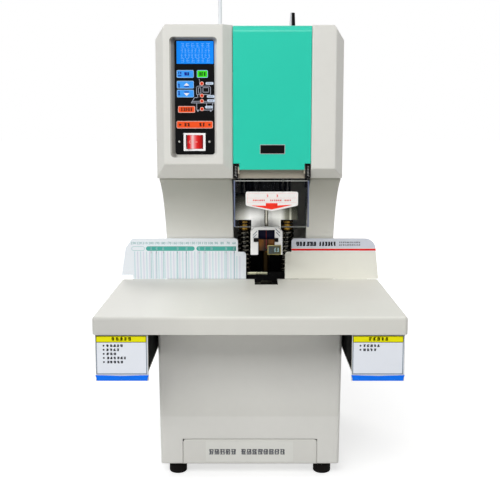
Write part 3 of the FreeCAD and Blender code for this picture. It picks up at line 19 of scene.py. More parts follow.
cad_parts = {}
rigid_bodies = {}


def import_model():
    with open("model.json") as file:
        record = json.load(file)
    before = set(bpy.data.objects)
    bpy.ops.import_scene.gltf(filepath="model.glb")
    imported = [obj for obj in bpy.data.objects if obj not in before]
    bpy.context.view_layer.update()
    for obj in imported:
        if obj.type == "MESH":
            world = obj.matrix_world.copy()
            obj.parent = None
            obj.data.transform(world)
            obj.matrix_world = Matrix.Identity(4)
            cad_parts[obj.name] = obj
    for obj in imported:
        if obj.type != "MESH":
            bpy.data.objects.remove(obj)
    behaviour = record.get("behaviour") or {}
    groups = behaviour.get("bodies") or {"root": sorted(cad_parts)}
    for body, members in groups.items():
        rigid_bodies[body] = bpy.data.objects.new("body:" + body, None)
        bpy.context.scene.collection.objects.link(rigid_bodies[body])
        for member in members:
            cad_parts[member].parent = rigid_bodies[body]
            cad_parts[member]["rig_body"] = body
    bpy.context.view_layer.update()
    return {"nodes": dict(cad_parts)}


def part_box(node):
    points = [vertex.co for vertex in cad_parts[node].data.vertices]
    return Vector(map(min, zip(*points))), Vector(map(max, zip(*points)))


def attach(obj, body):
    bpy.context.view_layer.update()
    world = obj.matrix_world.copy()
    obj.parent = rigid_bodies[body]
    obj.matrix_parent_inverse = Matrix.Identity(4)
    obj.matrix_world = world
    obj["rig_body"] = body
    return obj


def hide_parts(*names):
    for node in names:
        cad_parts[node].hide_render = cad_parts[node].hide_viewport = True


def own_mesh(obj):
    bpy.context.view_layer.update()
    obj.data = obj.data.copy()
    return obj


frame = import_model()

LOG = logging.getLogger("riveting_press")

MM = 0.001
WELD = 0.002
INK = 0.12
SUNK = 0.05
DOT_DEPTH = 0.3
WIDE_GRAIN = 11.0
COARSER = 9
MIDDLE_SHARE = 0.45
MOTTLE_FROM = 0.45
ROUGH_BETWEEN = (0.3, 0.7)
BUMP_STRENGTH = 0.6
ROUND_SAMPLES = 6
CLEAR_BLEND = 0.35
CLEAR_FACING, CLEAR_EDGE = 0.03, 0.5
DIGIT_SHARE = 0.7
FACES_FRONT = -0.99
ON_PLANE = 0.1
FILM_FLAT = 0.02
SHARP_FROM = math.radians(32)
SOFTEN_FROM = math.radians(38)
FLAT_WITHIN = math.radians(0.4)
UPRIGHT = Matrix.Identity(4)
TO_FRONT = Matrix.Rotation(math.pi / 2, 4, "X")

Span = tuple[float, float]
Point = tuple[float, float, float]
Color = tuple[int, int, int]
Row = tuple[Span, Span, int, int, float]
Source = bpy.types.Node | bpy.types.NodeSocket


class Kind(Enum):
    """What a finish is made of, which sets its shader."""

    PAINT = "powder coat or enamel"
    PLASTIC = "moulded or printed"
    DULL = "hardly shines"
    METAL = "bare, plated or brushed"
    CLEAR = "cast sheet that is seen through"
    LIT = "lit from behind"


SHINE = {Kind.PAINT: 0.3, Kind.PLASTIC: 0.15, Kind.DULL: 0.05, Kind.METAL: 0.5,
         Kind.CLEAR: 0.15, Kind.LIT: 0.1}


def linear(color: Color | int, share: float = 1.0) -> tuple[float, ...]:
    """Turns an sRGB colour into Blender's linear one.

    Args:
        color: Red, green and blue from 0 to 255, or one number for a grey.
        share: How much lighter or darker to make it.

    Returns:
        Linear red, green, blue and a full alpha.
    """
    parts = [c / 255 for c in ((color,) * 3 if isinstance(color, int) else color)]
    bright = [c / 12.92 if c <= 0.04045 else ((c + 0.055) / 1.055) ** 2.4 for c in parts]
    return (*(min(1.0, c * share) for c in bright), 1.0)


def about(middle: float, half: float) -> Span:
    """Returns the reach of something about its middle."""
    return (middle - half, middle + half)


def raised(plane: float, thick: float = INK) -> Span:
    """Returns the reach along Y of something that stands off a front plane."""
    return (plane - thick, plane + SUNK)


@dataclass
class Web:
    """Adds nodes to a material's tree and joins them."""

    tree: bpy.types.NodeTree

    def add(self, kind: str, inputs: dict | None = None, **settings: object) -> bpy.types.Node:
        """Adds one node.

        Args:
            kind: The node's type without its common prefix.
            inputs: Values, nodes or sockets for its inputs, by name or number.
            settings: Its own properties.

        Returns:
            The node.
        """
        node = self.tree.nodes.new("ShaderNode" + kind)
        for name, value in settings.items():
            setattr(node, name, value)
        self.feed(node, inputs or {})
        return node

    def feed(self, node: bpy.types.Node, inputs: dict) -> None:
        """Sets or links a node's inputs.

        Args:
            node: The node.
            inputs: Values, nodes (their first output) or sockets, by name or number.
        """
        for name, value in inputs.items():
            if isinstance(value, bpy.types.Node):
                value = value.outputs[0]
            if isinstance(value, bpy.types.NodeSocket):
                self.tree.links.new(value, node.inputs[name])
            else:
                node.inputs[name].default_value = value

    def noise(self, place: Source, scale: float, detail: float) -> bpy.types.Node:
        """Adds a noise of some grains per metre, with finer layers."""
        return self.add("TexNoise", {"Vector": place, "Scale": scale, "Detail": detail})


@dataclass(frozen=True)
class Sweep:
    """How a finish darkens or turns along an axis, from stop to stop in millimetres."""

    axis: str
    stops: tuple[tuple[float, Color | int], ...]

    def over(self, web: Web, place: Source, under: Source) -> Source:
        """Multiplies a colour by the sweep.

        Args:
            web: The material's nodes.
            place: Where the sweep is read.
            under: The colour.

        Returns:
            The swept colour.
        """
        along = web.add("SeparateXYZ", {0: place}).outputs[self.axis]
        first, last = self.stops[0][0], self.stops[-1][0]
        share = web.add("MapRange", {"Value": along, "From Min": first * MM,
                                     "From Max": last * MM})
        ramp = web.add("ValToRGB", {0: share})
        ends = ramp.color_ramp.elements
        for spot, _ in self.stops[1:-1]:
            ends.new((spot - first) / (last - first))
        for end, (_, color) in zip(ends, self.stops):
            end.color = linear(color)
        return web.add("Mix", {0: 1.0, 6: under, 7: ramp}, data_type="RGBA",
                       blend_type="MULTIPLY").outputs[2]


@dataclass(frozen=True)
class Finish:
    """A paint, plastic, metal or print, made as one procedural material.

    Mottle and spread say how far its colour and its roughness stray, grain is in grains
    per metre, bump and edge_round are in millimetres, and stretch draws the grain out
    along an axis.
    """

    name: str
    color: Color
    kind: Kind = Kind.PLASTIC
    rough: float = 0.45
    spread: float = 0.08
    mottle: float = 0.03
    grain: float = 700.0
    bump: float = 0.01
    glow: float = 0.0
    stretch: Point = (1.0, 1.0, 1.0)
    sweeps: tuple[Sweep, ...] = ()
    edge_round: float = 0.0

    def material(self) -> bpy.types.Material:
        """Returns the finish's material, which it makes the first time."""
        title = "finish_" + self.name
        made = bpy.data.materials.get(title)
        if made is None:
            made = bpy.data.materials.new(title)
            made.use_nodes = True
            self.dress(Web(made.node_tree))
        return made

    def dress(self, web: Web) -> None:
        """Builds the shader.

        Args:
            web: The material's nodes.
        """
        shader = web.tree.nodes["Principled BSDF"]
        place = web.add("TexCoord").outputs["Object"]
        drawn = web.add("Mapping", {"Vector": place, "Scale": self.stretch})
        wide = web.noise(place, WIDE_GRAIN, 3.0)
        middle = web.noise(drawn, self.grain / COARSER, 3.0)
        fine = web.noise(drawn, self.grain, 2.0)
        blend = web.add("Math", {0: middle, 1: MIDDLE_SHARE, 2: wide}, operation="MULTIPLY_ADD")
        tone = web.add("ValToRGB", {0: blend})
        ends = tone.color_ramp.elements
        ends[0].position = MOTTLE_FROM
        ends[0].color = linear(self.color, 1 - self.mottle)
        ends[1].color = linear(self.color, 1 + self.mottle)
        low, high = ROUGH_BETWEEN
        rough = web.add("MapRange", {"Value": middle, "From Min": low, "From Max": high,
                                     "To Min": self.rough - self.spread,
                                     "To Max": self.rough + self.spread})
        bump = web.add("Bump", {"Strength": BUMP_STRENGTH, "Distance": self.bump * MM,
                                "Height": fine})
        if self.edge_round:
            turned = web.add("Bevel", {"Radius": self.edge_round * MM},
                             samples=ROUND_SAMPLES)
            web.feed(bump, {"Normal": turned})
        for sweep in self.sweeps:
            tone = sweep.over(web, place, tone)
        web.feed(shader, {"Base Color": tone, "Roughness": rough, "Normal": bump,
                          "Specular IOR Level": SHINE[self.kind]})
        if self.kind is Kind.METAL:
            web.feed(shader, {"Metallic": 1.0})
        if self.kind is Kind.LIT:
            web.feed(shader, {"Emission Color": tone, "Emission Strength": self.glow})
        if self.kind is Kind.CLEAR:
            edge = web.add("LayerWeight", {"Blend": CLEAR_BLEND}).outputs["Facing"]
            web.feed(shader, {"Alpha": web.add("MapRange", {
                "Value": edge, "To Min": CLEAR_FACING, "To Max": CLEAR_EDGE})})


def coat(name: str, color: Color, *sweeps: Sweep) -> Finish:
    """Returns a powder coat whose edges are rounded."""
    return Finish(name, color, Kind.PAINT, 0.42, 0.05, 0.02, 850, 0.03, edge_round=3.0,
                  sweeps=sweeps)


def smooth(name: str, color: Color, rough: float = 0.35, mottle: float = 0.05,
           *sweeps: Sweep) -> Finish:
    """Returns a smooth plastic or label."""
    return Finish(name, color, rough=rough, mottle=mottle, bump=0.004, sweeps=sweeps)


def printed(name: str, color: Color, mottle: float = 0.05) -> Finish:
    """Returns a printed ink."""
    return Finish(name, color, rough=0.4, mottle=mottle)


CASING = coat("casing_powder_coat", (222, 221, 215))
# Painted shade: the neck darkens towards its top, where the head above it shades it.
NECK_PAINTED_SHADE_COAT = coat("neck_coat_painted_shade", (238, 237, 231), Sweep("Z", (
    (300, 255), (340, 252), (385, (232, 232, 230)), (434, (198, 198, 192)))))
# Painted light and shade: the base is lighter towards its top, under the table's overhang, with a
# faint painted shadow edge near Z 90.
BASE_PAINTED_SHADING_COAT = coat("base_coat_painted_shading", (248, 247, 241), Sweep("Z", (
    (18, 231), (89, 231), (92, (225, 225, 224)), (150, 230), (205, 247), (236, 255))))
# Painted shade: the table's front face and lower edges are darker than its top, and its left end is
# darker too.
TABLE_PAINTED_SHADE_COAT = Finish("table_coat_painted_shade", (240, 239, 231), Kind.DULL, 0.4, 0.008, 0.012, 850,
                    0.006, sweeps=(
    Sweep("Z", ((236, 232), (258.6, 232), (260.8, 255))),
    Sweep("X", ((-210, (236, 236, 238)), (-150, (240, 240, 242)), (-70, 255), (210, 255)))))
# Painted shade: the lining is darkest on its left slope and in a band along its top, where the
# recess shades it, lighter at its outer left edge and towards the right.
LINING_PAINTED_SHADE = Finish("recess_lining_painted_shade", (224, 223, 218), Kind.PAINT, 0.42, 0.05, 0.02, 850, 0.02, sweeps=(
    Sweep("X", ((-113.4, (186, 184, 180)), (-108.0, (150, 148, 146)), (-104, (232, 232, 230)),
                (-54, 250), (-50, 255))),
    Sweep("Z", ((468, 250), (624, 250), (631.4, (150, 148, 146)), (635.4, (196, 194, 190))))))
PLATE = Finish("guide_plate_coat", (243, 242, 232), Kind.PAINT, 0.36, 0.05, 0.02, 700, 0.012)
FILM = Finish("ruler_film", (238, 243, 248), Kind.PLASTIC, 0.3, 0.05, 0.015, 500, 0.006)
GREEN = Finish("green_enamel", (34, 203, 175), Kind.PAINT, 0.3, 0.012, 0.015, 500, 0.008)
LIP = Finish("lip_enamel", (172, 163, 148), Kind.PAINT, 0.38, 0.06, 0.03, 600, 0.012)

BLACK_FILM = Finish("panel_black_film", (12, 12, 13), Kind.DULL, 0.33, mottle=0.2, bump=0.004)
SKIRT = Finish("skirt_black", (13, 13, 13), Kind.DULL, 0.8, 0.1, 0.2, 400, 0.01)
RUBBER = Finish("foot_rubber", (24, 22, 21), Kind.DULL, 0.75, mottle=0.2, grain=900, bump=0.05)
BELT = Finish("belt_rubber", (30, 30, 30), Kind.DULL, 0.7, mottle=0.2, grain=1200, bump=0.05)
BLACK = Finish("moulded_black", (17, 17, 18), Kind.DULL, 0.38, mottle=0.2)
FRAME_BLACK = Finish("frame_black", (19, 19, 19), Kind.DULL, 0.45, 0.1, 0.2, 700, 0.02)
MOTOR = Finish("motor_black", (26, 26, 27), Kind.DULL, 0.4, 0.08, 0.15, 700, 0.02)
HOUSING = Finish("housing_blacked_steel", (30, 30, 30), Kind.DULL, 0.4, 0.08, 0.1, 900,
                 stretch=(1, 1, 12))
# Painted shade: a dark navy plate behind the yoke's window, which makes the window read dark.
NAVY_PAINTED_SHADE = Finish("foot_painted_shade_navy", (20, 22, 46), Kind.DULL, 0.3, mottle=0.2, bump=0.004)
PAD_DARK = Finish("pad_dark", (26, 25, 22), Kind.DULL, 0.5, mottle=0.2)
# Painted highlight: a pale stripe down the left of the grip, which is black elsewhere.
GRIP_PAINTED_HIGHLIGHT = Finish("pin_grip", (255, 255, 255), Kind.DULL, 0.22, 0.04, 0.02, sweeps=(
    Sweep("X", ((61.7, (150, 150, 156)), (64.0, (236, 236, 242)), (65.0, (150, 150, 156)),
                (65.8, (16, 16, 18)), (69.6, (9, 9, 11)), (71.7, (52, 52, 56)))),))

LAMP_RED = Finish("lamp_red", (205, 44, 24), Kind.LIT, 0.2, glow=0.08)
SCREEN = Finish("screen_blue", (14, 134, 244), Kind.LIT, 0.16, 0.04, 0.1, 60, 0.001, glow=0.06)
SCREEN_DOTS = Finish("screen_dots", (128, 196, 252), Kind.LIT, 0.3, glow=0.06, bump=0.001)
ACRYLIC = Finish("guard_acrylic", (50, 54, 66), Kind.CLEAR, 0.12, 0.05, 0.05, 300, 0.002)

ZINC = Finish("zinc_plate", (172, 172, 166), Kind.METAL, 0.3, 0.1, 0.12, 300)
COLUMN = Finish("column_steel", (64, 64, 62), Kind.METAL, 0.2, 0.05, 0.1, 400, 0.002)
SPRING = Finish("spring_steel", (104, 101, 92), Kind.METAL, 0.22, 0.08, 0.2, 500)
NICKEL = Finish("screw_nickel", (190, 190, 188), Kind.METAL, 0.22, 0.08, 0.08, 500, 0.004)
BRASS = Finish("oiled_brass", (150, 116, 50), Kind.METAL, 0.3, 0.1, 0.2, 500, 0.008)
SCREW_BRONZE = Finish("screw_bronze", (40, 30, 16), Kind.METAL, 0.35, 0.1, 0.2, 500)
BUSH = Finish("bush_dark_bronze", (52, 42, 26), Kind.METAL, 0.35, 0.1, 0.2, 500, 0.008)
ALLOY = Finish("turned_alloy", (176, 177, 178), Kind.METAL, 0.3, 0.08, 0.1, 900, 0.008,
               stretch=(1, 1, 12))
BEARING = Finish("ground_steel", (188, 188, 190), Kind.METAL, 0.2, 0.05, 0.08, 900, 0.004)
BRONZE_BAR = Finish("stop_bar", (214, 214, 182), Kind.METAL, 0.3, 0.1, 0.15, 500, 0.008)
PLATE_GOLD = Finish("bracket_gold", (142, 134, 88), Kind.METAL, 0.3, 0.1, 0.2, 400, 0.008)
# Painted shade and highlight: darker towards the top, under the head, and towards the right, with a
# painted highlight streak near X 65.
CROSSHEAD_PAINTED_SHADING = Finish("crosshead_grey", (255, 255, 252), Kind.METAL, 0.36, 0.06, 0.05, 500, 0.02,
                   sweeps=(
    Sweep("Z", ((338, 255), (362, (255, 255, 253)), (371, (206, 206, 204)),
                (378, (150, 150, 146)), (388, (92, 92, 88)), (398, (40, 40, 36)))),
    Sweep("X", ((-26, (112, 112, 106)), (-10, (190, 190, 184)), (0, 255),
                (50, (244, 244, 240)), (58, (136, 136, 124)), (63, (112, 112, 100)),
                (65.5, (204, 204, 190)), (68, (96, 96, 86)), (78, (64, 64, 56))))))
# Painted highlight: a bright band down the bit's middle with painted dark edges; brown below Z 334.
DRILL_PAINTED_HIGHLIGHT = Finish("drill_steel_painted_highlight", (196, 194, 186), Kind.METAL, 0.22, 0.05, 0.1, 900, 0.004, sweeps=(
    Sweep("Z", ((308, (92, 62, 28)), (334, (124, 88, 48)), (340, 236), (402, 250))),
    Sweep("X", ((23, (40, 38, 34)), (24.2, (72, 68, 60)), (25.2, (240, 238, 230)),
                (26.8, (255, 255, 250)), (27.8, (96, 90, 78)), (29, (36, 34, 30))))))

BOARD = Finish("circuit_board", (20, 84, 44), rough=0.4, mottle=0.25, grain=600)
# Painted highlights: pale strips for the light caught by the guard's cut edges.
ACRYLIC_EDGE_HIGHLIGHT = Finish("guard_acrylic_edge_highlight", (102, 110, 134), rough=0.3, mottle=0.25, grain=200)
ACRYLIC_LINE_HIGHLIGHT = Finish("guard_acrylic_line_highlight", (156, 158, 154), rough=0.3, mottle=0.25, grain=200)
YOKE = Finish("yoke_acetal", (254, 254, 253), rough=0.42, grain=500)
PULL_BLUE = Finish("pull_blue", (10, 118, 250), rough=0.35, mottle=0.05)
# Painted highlights: two bright upright bands and a bright band near the top, painted darker at the
# bottom and between the bands, navy at the top edge.
AMBER_PAINTED_HIGHLIGHTS = Finish("guide_amber", (120, 80, 24), rough=0.2, mottle=0.9, grain=2400, sweeps=(
    Sweep("Z", ((312, (60, 56, 52)), (319, (150, 144, 132)), (325, (240, 234, 220)),
                (331, (255, 246, 226)), (333, (40, 44, 80)))),
    Sweep("X", ((12, (110, 96, 80)), (16, (255, 246, 220)), (20, (232, 216, 180)),
                (23, (130, 118, 100)), (27, (104, 92, 78)), (31, (224, 206, 170)),
                (36, (255, 240, 206)), (40, (110, 96, 80))))))
BRACKET = Finish("bracket_dark", (98, 100, 94), Kind.PLASTIC, 0.3, 0.1, 0.3, 200, 0.008, sweeps=(
    Sweep("X", ((29, (190, 212, 236)), (36, (176, 186, 190)), (42, (214, 212, 186)),
                (48, (196, 192, 158)))),))
WHITE = smooth("switch_white", (252, 252, 251), 0.3, 0.015)
# Painted highlight: a pale pink band down the rocker's left middle, fading to dark red at both
# sides.
ROCKER_PAINTED_HIGHLIGHT = smooth("rocker_red_painted_highlight", (255, 255, 255), 0.2, 0.04, Sweep("X", (
    (-91.6, (120, 4, 8)), (-89.4, (204, 16, 20)), (-86.6, (236, 50, 54)),
    (-84.4, (255, 176, 178)), (-82.6, (255, 216, 216)), (-80.2, (250, 130, 132)),
    (-77.0, (230, 46, 48)), (-74.0, (212, 20, 18)), (-68.0, (130, 6, 8)))))
BLUE_KEY = smooth("key_blue", (62, 158, 248))
GREEN_KEY = smooth("key_green", (64, 226, 26))
ORANGE = smooth("key_orange", (244, 84, 34))
SIGN = smooth("sign_white", (243, 240, 237), 0.35, 0.01)
NYLON = smooth("tube_nylon", (236, 237, 242), 0.28, 0.04)
LABEL_BLUE = smooth("label_bluish", (220, 224, 235), 0.35, 0.02)
LABEL_WHITE = smooth("label_white", (235, 239, 246), 0.35, 0.02)
LABEL_CASING = smooth("label_pale", (228, 228, 222), 0.33, 0.015)
YELLOW = smooth("label_yellow", (240, 234, 4), 0.4, 0.04)

TEAL_INK = printed("ink_teal", (84, 178, 166), 0.06)
TEAL_GREY_INK = printed("ink_teal_grey", (98, 168, 166), 0.06)
MID_TEAL_INK = printed("ink_mid_teal", (146, 198, 198))
PALE_TEAL_INK = printed("ink_pale_teal", (176, 214, 220), 0.04)
PALE_LILAC_INK = printed("ink_pale_lilac", (204, 202, 224), 0.04)
GREY_INK = printed("ink_grey", (126, 138, 152), 0.08)
DRAWER_INK = printed("ink_drawer", (112, 114, 122), 0.08)
MIMIC_INK = printed("ink_mimic", (176, 180, 194), 0.08)
DARK_INK = printed("ink_dark", (30, 30, 42), 0.2)
# Painted light: a thin dark-red streak down the yoke's window.
RED_PAINTED_LIGHT = printed("painted_red_light_line", (116, 30, 26), 0.2)
SIGN_RED = printed("sign_red", (250, 56, 38))
RED_INK = printed("ink_red", (232, 40, 42))
PILL_INK = printed("ink_pill", (200, 214, 232))
KEY_EDGE_INK = printed("ink_key_edge", (150, 196, 240))
PEACH_INK = printed("ink_peach", (240, 190, 176))
NAVY_INK = printed("ink_navy", (12, 26, 150), 0.1)
BROWN_INK = printed("ink_brown", (96, 44, 30), 0.1)
OLIVE_INK = printed("ink_olive", (84, 84, 26), 0.1)
DEEP_GREEN_INK = printed("ink_deep_green", (14, 84, 10), 0.1)


def linked(name: str, data: bpy.types.ID) -> bpy.types.Object:
    """Makes an object and links it to the scene.

    Args:
        name: Its name.
        data: Its mesh, curve, lamp or camera.

    Returns:
        The object.
    """
    made = bpy.data.objects.new(name, data)
    bpy.context.scene.collection.objects.link(made)
    return made


@dataclass
class Shape:
    """A mesh in the making, which becomes one piece.

    It is in millimetres, unless it is a CAD node's copy, whose faces point the right way.
    """

    bm: bmesh.types.BMesh = field(default_factory=bmesh.new)
    copied: bool = False

    def bevel(self, parts: list, radius: float, affect: str, steps: int) -> None:
        """Rounds some edges or corners by a radius."""
        bmesh.ops.bevel(self.bm, geom=parts, offset=radius, offset_type="OFFSET", segments=steps,
                        profile=0.5, affect=affect, material=-1, clamp_overlap=True)

    def block(self, x: Span, y: Span, z: Span, round_by: float = 0.0,
              turn: Matrix = UPRIGHT) -> "Shape":
        """Adds a block, with its edges rounded if asked.

        Args:
            x: Reach along X.
            y: Reach along Y.
            z: Reach along Z.
            round_by: The radius of its edges.
            turn: A turn about its own middle.

        Returns:
            The shape itself.
        """
        middle = Matrix.Translation([(low + high) / 2 for low, high in (x, y, z)])
        size = Matrix.Diagonal((*(high - low for low, high in (x, y, z)), 1))
        made = bmesh.ops.create_cube(self.bm, size=1.0, matrix=middle @ turn @ size)["verts"]
        if round_by:
            edges = {edge for vert in made for edge in vert.link_edges}
            self.bevel(list(edges), round_by, "EDGES", 3)
        return self

    def leaf(self, x: Span, z: Span, y: float, corner: float) -> list:
        """Adds a rectangle that faces the front, with no thickness yet.

        Args:
            x: Reach along X.
            z: Reach along Z.
            y: Its plane.
            corner: The radius of its corners.

        Returns:
            Its faces.
        """
        before = set(self.bm.faces)
        middle = Matrix.Translation((sum(x) / 2, y, sum(z) / 2))
        size = Matrix.Diagonal((x[1] - x[0], z[1] - z[0], 1, 1))
        made = bmesh.ops.create_grid(self.bm, x_segments=1, y_segments=1, size=0.5,
                                     matrix=middle @ TO_FRONT @ size)
        if corner:
            self.bevel(made["verts"], corner, "VERTICES", 5)
        return [face for face in self.bm.faces if face not in before]

    def grow(self, faces: list, by: float) -> None:
        """Gives flat faces a thickness towards the front."""
        grown = bmesh.ops.extrude_face_region(self.bm, geom=faces)["geom"]
        moved = [part for part in grown if isinstance(part, bmesh.types.BMVert)]
        bmesh.ops.translate(self.bm, verts=moved, vec=(0, -by, 0))

    def plate(self, x: Span, z: Span, y: float, thick: float = INK, corner: float = 0.0,
              border: float = 0.0) -> "Shape":
        """Adds a flat plate that faces the front and lies on a plane.

        Args:
            x: Reach along X.
            z: Reach along Z.
            y: Its plane.
            thick: How far it stands off the plane.
            corner: The radius of its corners.
            border: The width of its frame, where only a frame is wanted.

        Returns:
            The shape itself.
        """
        faces = self.leaf(x, z, y + SUNK, corner)
        if border:
            ring = bmesh.ops.inset_region(self.bm, faces=faces, thickness=border,
                                          use_boundary=True, use_even_offset=True)["faces"]
            bmesh.ops.delete(self.bm, geom=faces, context="FACES")
            faces = ring
        self.grow(faces, thick + SUNK)
        return self

    def polygon(self, points: Sequence[Span], y: float, thick: float = INK) -> "Shape":
        """Adds a flat plate of any outline that faces the front.

        Args:
            points: The corners as X and Z.
            y: Its plane.
            thick: How far it stands off the plane.

        Returns:
            The shape itself.
        """
        verts = [self.bm.verts.new((x, y + SUNK, z)) for x, z in points]
        self.grow([self.bm.faces.new(verts)], thick + SUNK)
        return self

    def stroke(self, points: Sequence[Span], y: float, width: float) -> "Shape":
        """Adds a printed line along some points.

        Args:
            points: The line's corners as X and Z.
            y: Its plane.
            width: Its width.

        Returns:
            The shape itself.
        """
        for (x0, z0), (x1, z1) in zip(points, points[1:]):
            length = math.hypot(x1 - x0, z1 - z0) + width
            turn = Matrix.Rotation(-math.atan2(z1 - z0, x1 - x0), 4, "Y")
            self.block(about((x0 + x1) / 2, length / 2), raised(y),
                       about((z0 + z1) / 2, width / 2), turn=turn)
        return self

    def dot(self, centre: Point, radius: float, steps: int) -> None:
        """Adds a round dot that faces the front."""
        bmesh.ops.create_cone(
            self.bm, cap_ends=True, cap_tris=False, segments=steps, radius1=radius,
            radius2=radius, depth=DOT_DEPTH, matrix=Matrix.Translation(centre) @ TO_FRONT)

    def lathe(self, profile: Sequence[Span], centre: Point, axis: Matrix = UPRIGHT,
              steps: int = 36) -> "Shape":
        """Adds a turned shape.

        Args:
            profile: Radius and height along the axis, from one end to the other.
            centre: Where height 0 is.
            axis: How its axis is turned from upright.
            steps: Faces round it.

        Returns:
            The shape itself.
        """
        before = set(self.bm.verts)
        verts = [self.bm.verts.new((radius, 0, height)) for radius, height in profile]
        edges = [self.bm.edges.new(pair) for pair in zip(verts, verts[1:])]
        bmesh.ops.spin(self.bm, geom=verts + edges, cent=(0, 0, 0), axis=(0, 0, 1),
                       angle=2 * math.pi, steps=steps, use_merge=True)
        made = [vert for vert in self.bm.verts if vert not in before]
        bmesh.ops.transform(self.bm, verts=made, matrix=Matrix.Translation(centre) @ axis)
        return self

    def ring(self, centre: Point, inner: float, outer: float, thick: float) -> "Shape":
        """Adds a flat ring that faces the front, from the middle of its back."""
        corners = [(inner, -SUNK), (outer, -SUNK), (outer, thick), (inner, thick), (inner, -SUNK)]
        return self.lathe(corners, centre, TO_FRONT, 28)

    def coil(self, centre: Point, radius: float, wire: float, length: float,
             turns: float, steps: int = 22, sides: int = 10) -> "Shape":
        """Adds an upright coil of round wire.

        Args:
            centre: The middle of its lower end.
            radius: From its axis to the middle of the wire.
            wire: The radius of the wire.
            length: From the lowest to the highest wire's middle.
            turns: How many turns it has.
            steps: Faces along one turn.
            sides: Faces round the wire.

        Returns:
            The shape itself.
        """
        before = set(self.bm.verts)
        circle = bmesh.ops.create_circle(
            self.bm, cap_ends=True, radius=wire, segments=sides,
            matrix=Matrix.Translation((radius, 0, 0)) @ TO_FRONT)["verts"]
        face = circle[0].link_faces[0]
        count = round(turns * steps)
        bmesh.ops.spin(self.bm, geom=[face, *face.edges, *face.verts], cent=(0, 0, 0), steps=count,
                       axis=(0, 0, 1), dvec=(0, 0, length / count), angle=2 * math.pi * turns)
        made = [vert for vert in self.bm.verts if vert not in before]
        bmesh.ops.translate(self.bm, verts=made, vec=centre)
        return self

    def marks(self, y: float, *rows: Row) -> "Shape":
        """Adds rows of unreadable marks, a few strokes in each cell.

        Args:
            y: The plane that they lie on.
            rows: Each row's X, Z, cells, seed and a stroke's width as a share of its height.

        Returns:
            The shape itself.
        """
        for x, z, count, seed, weight in rows:
            chance = random.Random(seed)
            cell = (x[1] - x[0]) / count
            line = (z[1] - z[0]) * weight
            for index in range(count):
                left = x[0] + cell * index
                for level in (0.0, 0.5, 1.0):
                    start = left + cell * chance.uniform(0.05, 0.3)
                    end = left + cell * chance.uniform(0.6, 0.85)
                    low = z[0] + (z[1] - z[0] - line) * level
                    self.block((start, end), raised(y), (low, low + line))
                upright = left + cell * chance.uniform(0.2, 0.65)
                self.block((upright, upright + line), raised(y), z)
        return self

    def number(self, text: str, x: float, z: float, y: float, height: float) -> None:
        """Adds a plain number that faces the front.

        Args:
            text: The digits.
            x: The middle of the number.
            z: Its lower edge.
            y: Its plane.
            height: The height of a digit.
        """
        curve = bpy.data.curves.new("number", "FONT")
        curve.body, curve.size, curve.align_x = text, height / DIGIT_SHARE, "CENTER"
        curve.extrude, curve.resolution_u = (INK + SUNK) / 2, 2
        holder = linked("number", curve)
        view = bpy.context.evaluated_depsgraph_get()
        mesh = bpy.data.meshes.new_from_object(holder.evaluated_get(view))
        mesh.transform(Matrix.Translation((x, y - (INK - SUNK) / 2, z)) @ TO_FRONT)
        self.bm.from_mesh(mesh)
        bpy.data.objects.remove(holder)
        bpy.data.curves.remove(curve)
        bpy.data.meshes.remove(mesh)

    def skin(self, node: str, plane: float, low: float, high: float = 1e4,
             thick: float = INK) -> "Shape":
        """Makes the empty shape a film over part of a node's flat front.

        Args:
            node: The CAD node that carries it.
            plane: The Y of the flat front.
            low: The film's lower edge.
            high: Its upper edge.
            thick: How thick it is.

        Returns:
            The shape itself.
        """
        film = self.bm
        film.from_mesh(frame["nodes"][node].data)
        bmesh.ops.scale(film, vec=(1 / MM,) * 3, verts=film.verts)
        bmesh.ops.remove_doubles(film, verts=film.verts, dist=WELD)
        other = [face for face in film.faces if face.normal.y > FACES_FRONT
                 or abs(face.calc_center_median().y - plane) > ON_PLANE]
        bmesh.ops.delete(film, geom=other, context="FACES")
        for level, upward in ((low, 1), (high, -1)):
            bmesh.ops.bisect_plane(film, geom=[*film.verts, *film.edges, *film.faces],
                                   plane_co=(0, 0, level), plane_no=(0, 0, upward),
                                   clear_inner=True)
        bmesh.ops.dissolve_limit(film, angle_limit=FILM_FLAT, verts=film.verts, edges=film.edges)
        self.grow(list(film.faces), thick)
        return self

    def piece(self, name: str, finish: Finish, body: str = "frame", slot: str | None = None,
              stands_for: tuple[str, ...] = (), edge: float = 0.0) -> bpy.types.Object:
        """Turns the shape into a piece of the machine.

        Args:
            name: The piece's name.
            finish: What it is made of.
            body: The CAD body that it rides on.
            slot: The record's material slot. Not used.
            stands_for: The CAD nodes that it replaces.
            edge: The width of its softened edges, if they are softened.

        Returns:
            The piece.
        """
        if not self.copied:
            bmesh.ops.remove_doubles(self.bm, verts=self.bm.verts, dist=WELD)
            bmesh.ops.recalc_face_normals(self.bm, faces=self.bm.faces)
        mesh = bpy.data.meshes.new(name)
        self.bm.to_mesh(mesh)
        self.bm.free()
        if not self.copied:
            mesh.transform(Matrix.Scale(MM, 4))
        mesh.polygons.foreach_set("use_smooth", [True] * len(mesh.polygons))
        mesh.set_sharp_from_angle(angle=SHARP_FROM)
        mesh.materials.clear()
        mesh.materials.append(finish.material())
        made = linked(name, mesh)
        if edge:
            soft = made.modifiers.new("soft_edges", "BEVEL")
            soft.width, soft.segments, soft.profile = edge * MM, 2, 0.5
            soft.limit_method, soft.angle_limit = "ANGLE", SOFTEN_FROM
            soft.harden_normals, soft.use_clamp_overlap = True, True
        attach(made, body)
        if stands_for:
            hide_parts(*stands_for)
        LOG.info("%s rides on %s in %s", name, body, finish.name)
        return made


